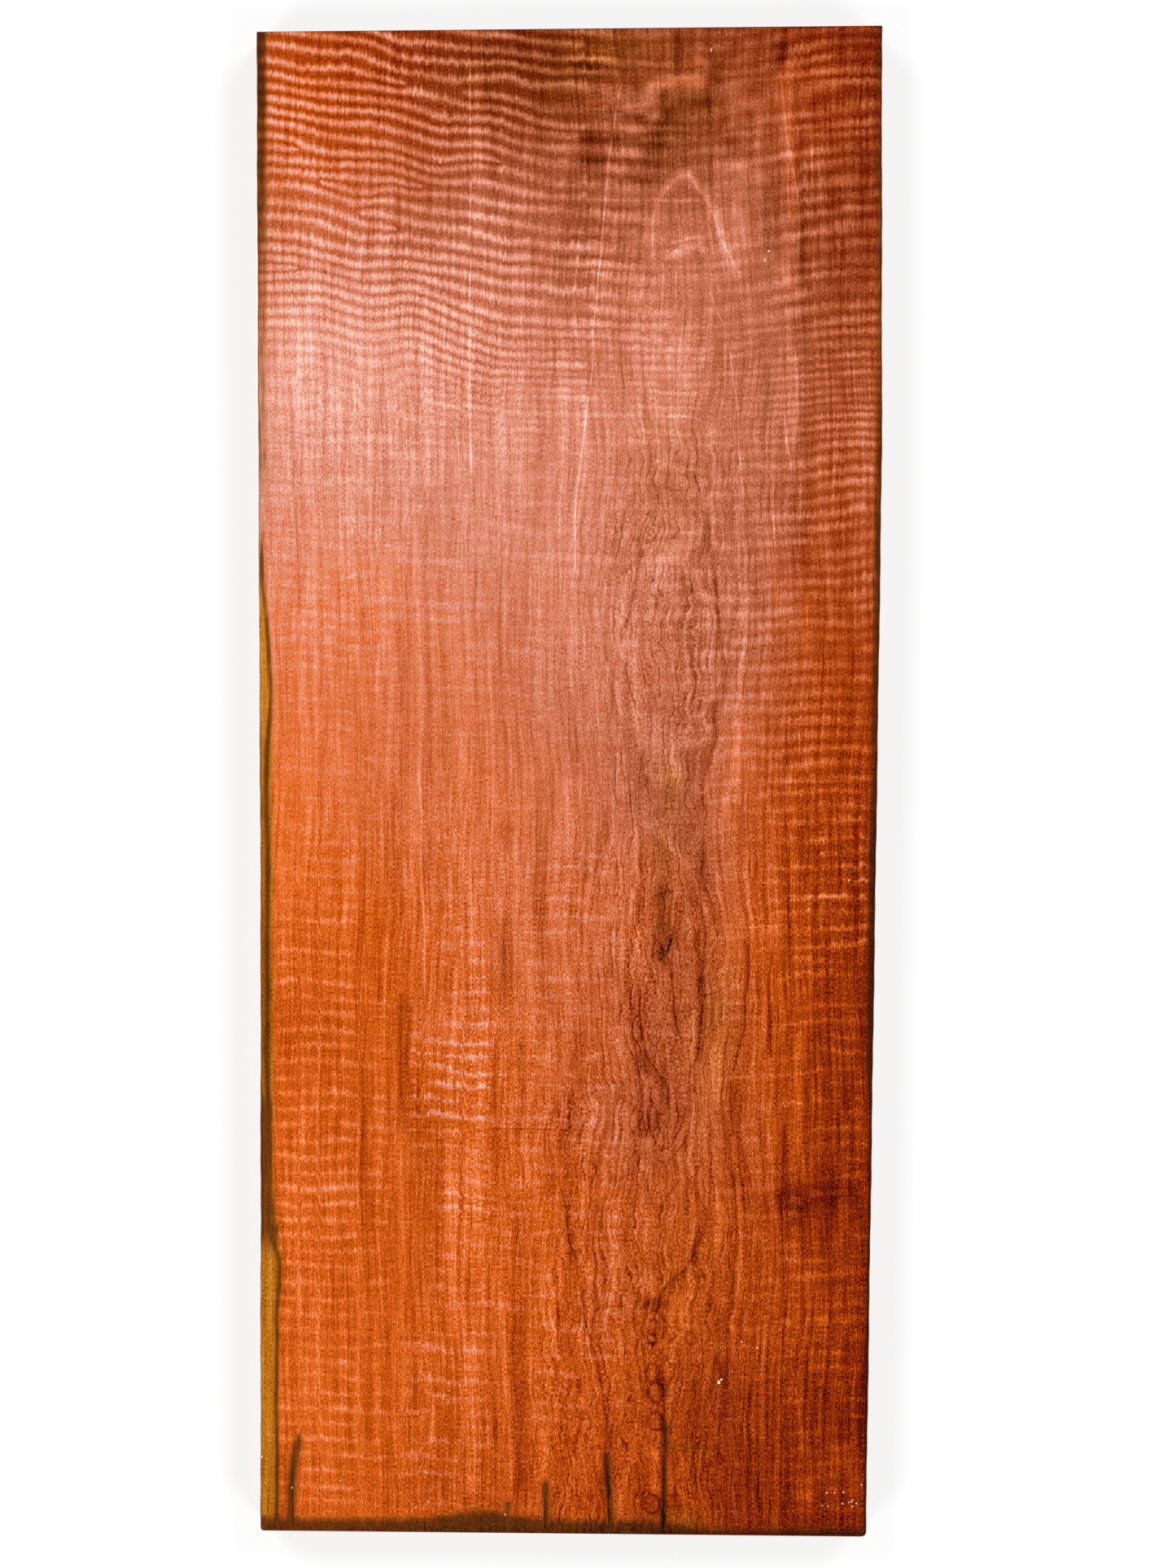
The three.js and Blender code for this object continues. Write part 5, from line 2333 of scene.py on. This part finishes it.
@dataclass(frozen=True)
class Studio:
    """A pale floor, soft even light and the camera over the slab."""

    board: Board
    camera_height: float = 4050.0
    view_height: float = 1906.7
    camera_shift: Point2 = (22.8, -3.5)
    sensor: float = 36.0
    floor_size: float = 9000.0
    floor_drop: float = 0.2
    floor_grey: float = 0.3
    floor_glow: float = 0.72
    lamps: int = 4
    lamp_tilt: float = 58.0
    lamp_angle: float = 24.0

    def build(self) -> None:
        """Makes the floor, the lights and the camera."""
        self._floor()
        self._lights()
        self._camera()
        bpy.context.scene.view_settings.view_transform = "Standard"

    def _floor(self) -> None:
        """Lays the floor just under the slab."""
        half = self.floor_size / 2
        shell = Shell()
        ends = np.linspace(-half, half, 13)
        x, y = np.meshgrid(ends, ends)
        shell.add_grid(shell.add_points(x, y, -self.floor_drop))
        floor = bpy.data.objects.new("floor", shell.mesh("floor"))
        bpy.context.collection.objects.link(floor)
        material = bpy.data.materials.new("floor_paint")
        material.use_nodes = True
        shader = material.node_tree.nodes["Principled BSDF"]
        shader.inputs["Base Color"].default_value = (*[self.floor_grey] * 3, 1.0)
        shader.inputs["Roughness"].default_value = 0.9
        shader.inputs["Specular IOR Level"].default_value = 0.0
        shader.inputs["Emission Color"].default_value = (1.0, 1.0, 1.0, 1.0)
        shader.inputs["Emission Strength"].default_value = self.floor_glow
        floor.data.materials.append(material)

    def _lights(self) -> None:
        """Hangs four broad lights, one over each corner, and a dim sky."""
        tilt = math.radians(self.lamp_tilt)
        for number in range(self.lamps):
            lamp = bpy.data.lights.new(f"soft_light_{number + 1}", "SUN")
            lamp.energy = (LIGHT_LEVEL - SKY_LEVEL) * math.pi / (self.lamps * math.cos(tilt))
            lamp.angle = math.radians(self.lamp_angle)
            light = bpy.data.objects.new(lamp.name, lamp)
            light.rotation_euler = (tilt, 0.0, 2 * math.pi * (number + 0.5) / self.lamps)
            bpy.context.collection.objects.link(light)
        world = bpy.data.worlds.new("studio")
        world.use_nodes = True
        sky = world.node_tree.nodes["Background"]
        sky.inputs["Color"].default_value = (1.0, 1.0, 1.0, 1.0)
        sky.inputs["Strength"].default_value = SKY_LEVEL
        bpy.context.scene.world = world

    def _camera(self) -> None:
        """Hangs the camera straight over the slab."""
        data = bpy.data.cameras.new("camera")
        data.sensor_width = self.sensor
        data.lens = self.sensor * (self.camera_height - self.board.thickness) / self.view_height
        data.clip_end = 100.0
        camera = bpy.data.objects.new("camera", data)
        camera.location = (self.camera_shift[0] * MM, self.camera_shift[1] * MM, self.camera_height * MM)
        bpy.context.collection.objects.link(camera)
        bpy.context.scene.camera = camera


def main() -> None:
    """Builds the studio and the slab's pieces, in order."""
    logging.basicConfig(level=logging.INFO, format="%(message)s")
    board = Board.from_frame()
    Studio(board).build()
    for maker in (Slab(board), Dust(board)):
        piece = maker.build()
        LOG.info("%s: %d faces", piece.name, len(piece.data.polygons))


if __name__ == "__main__":
    main()
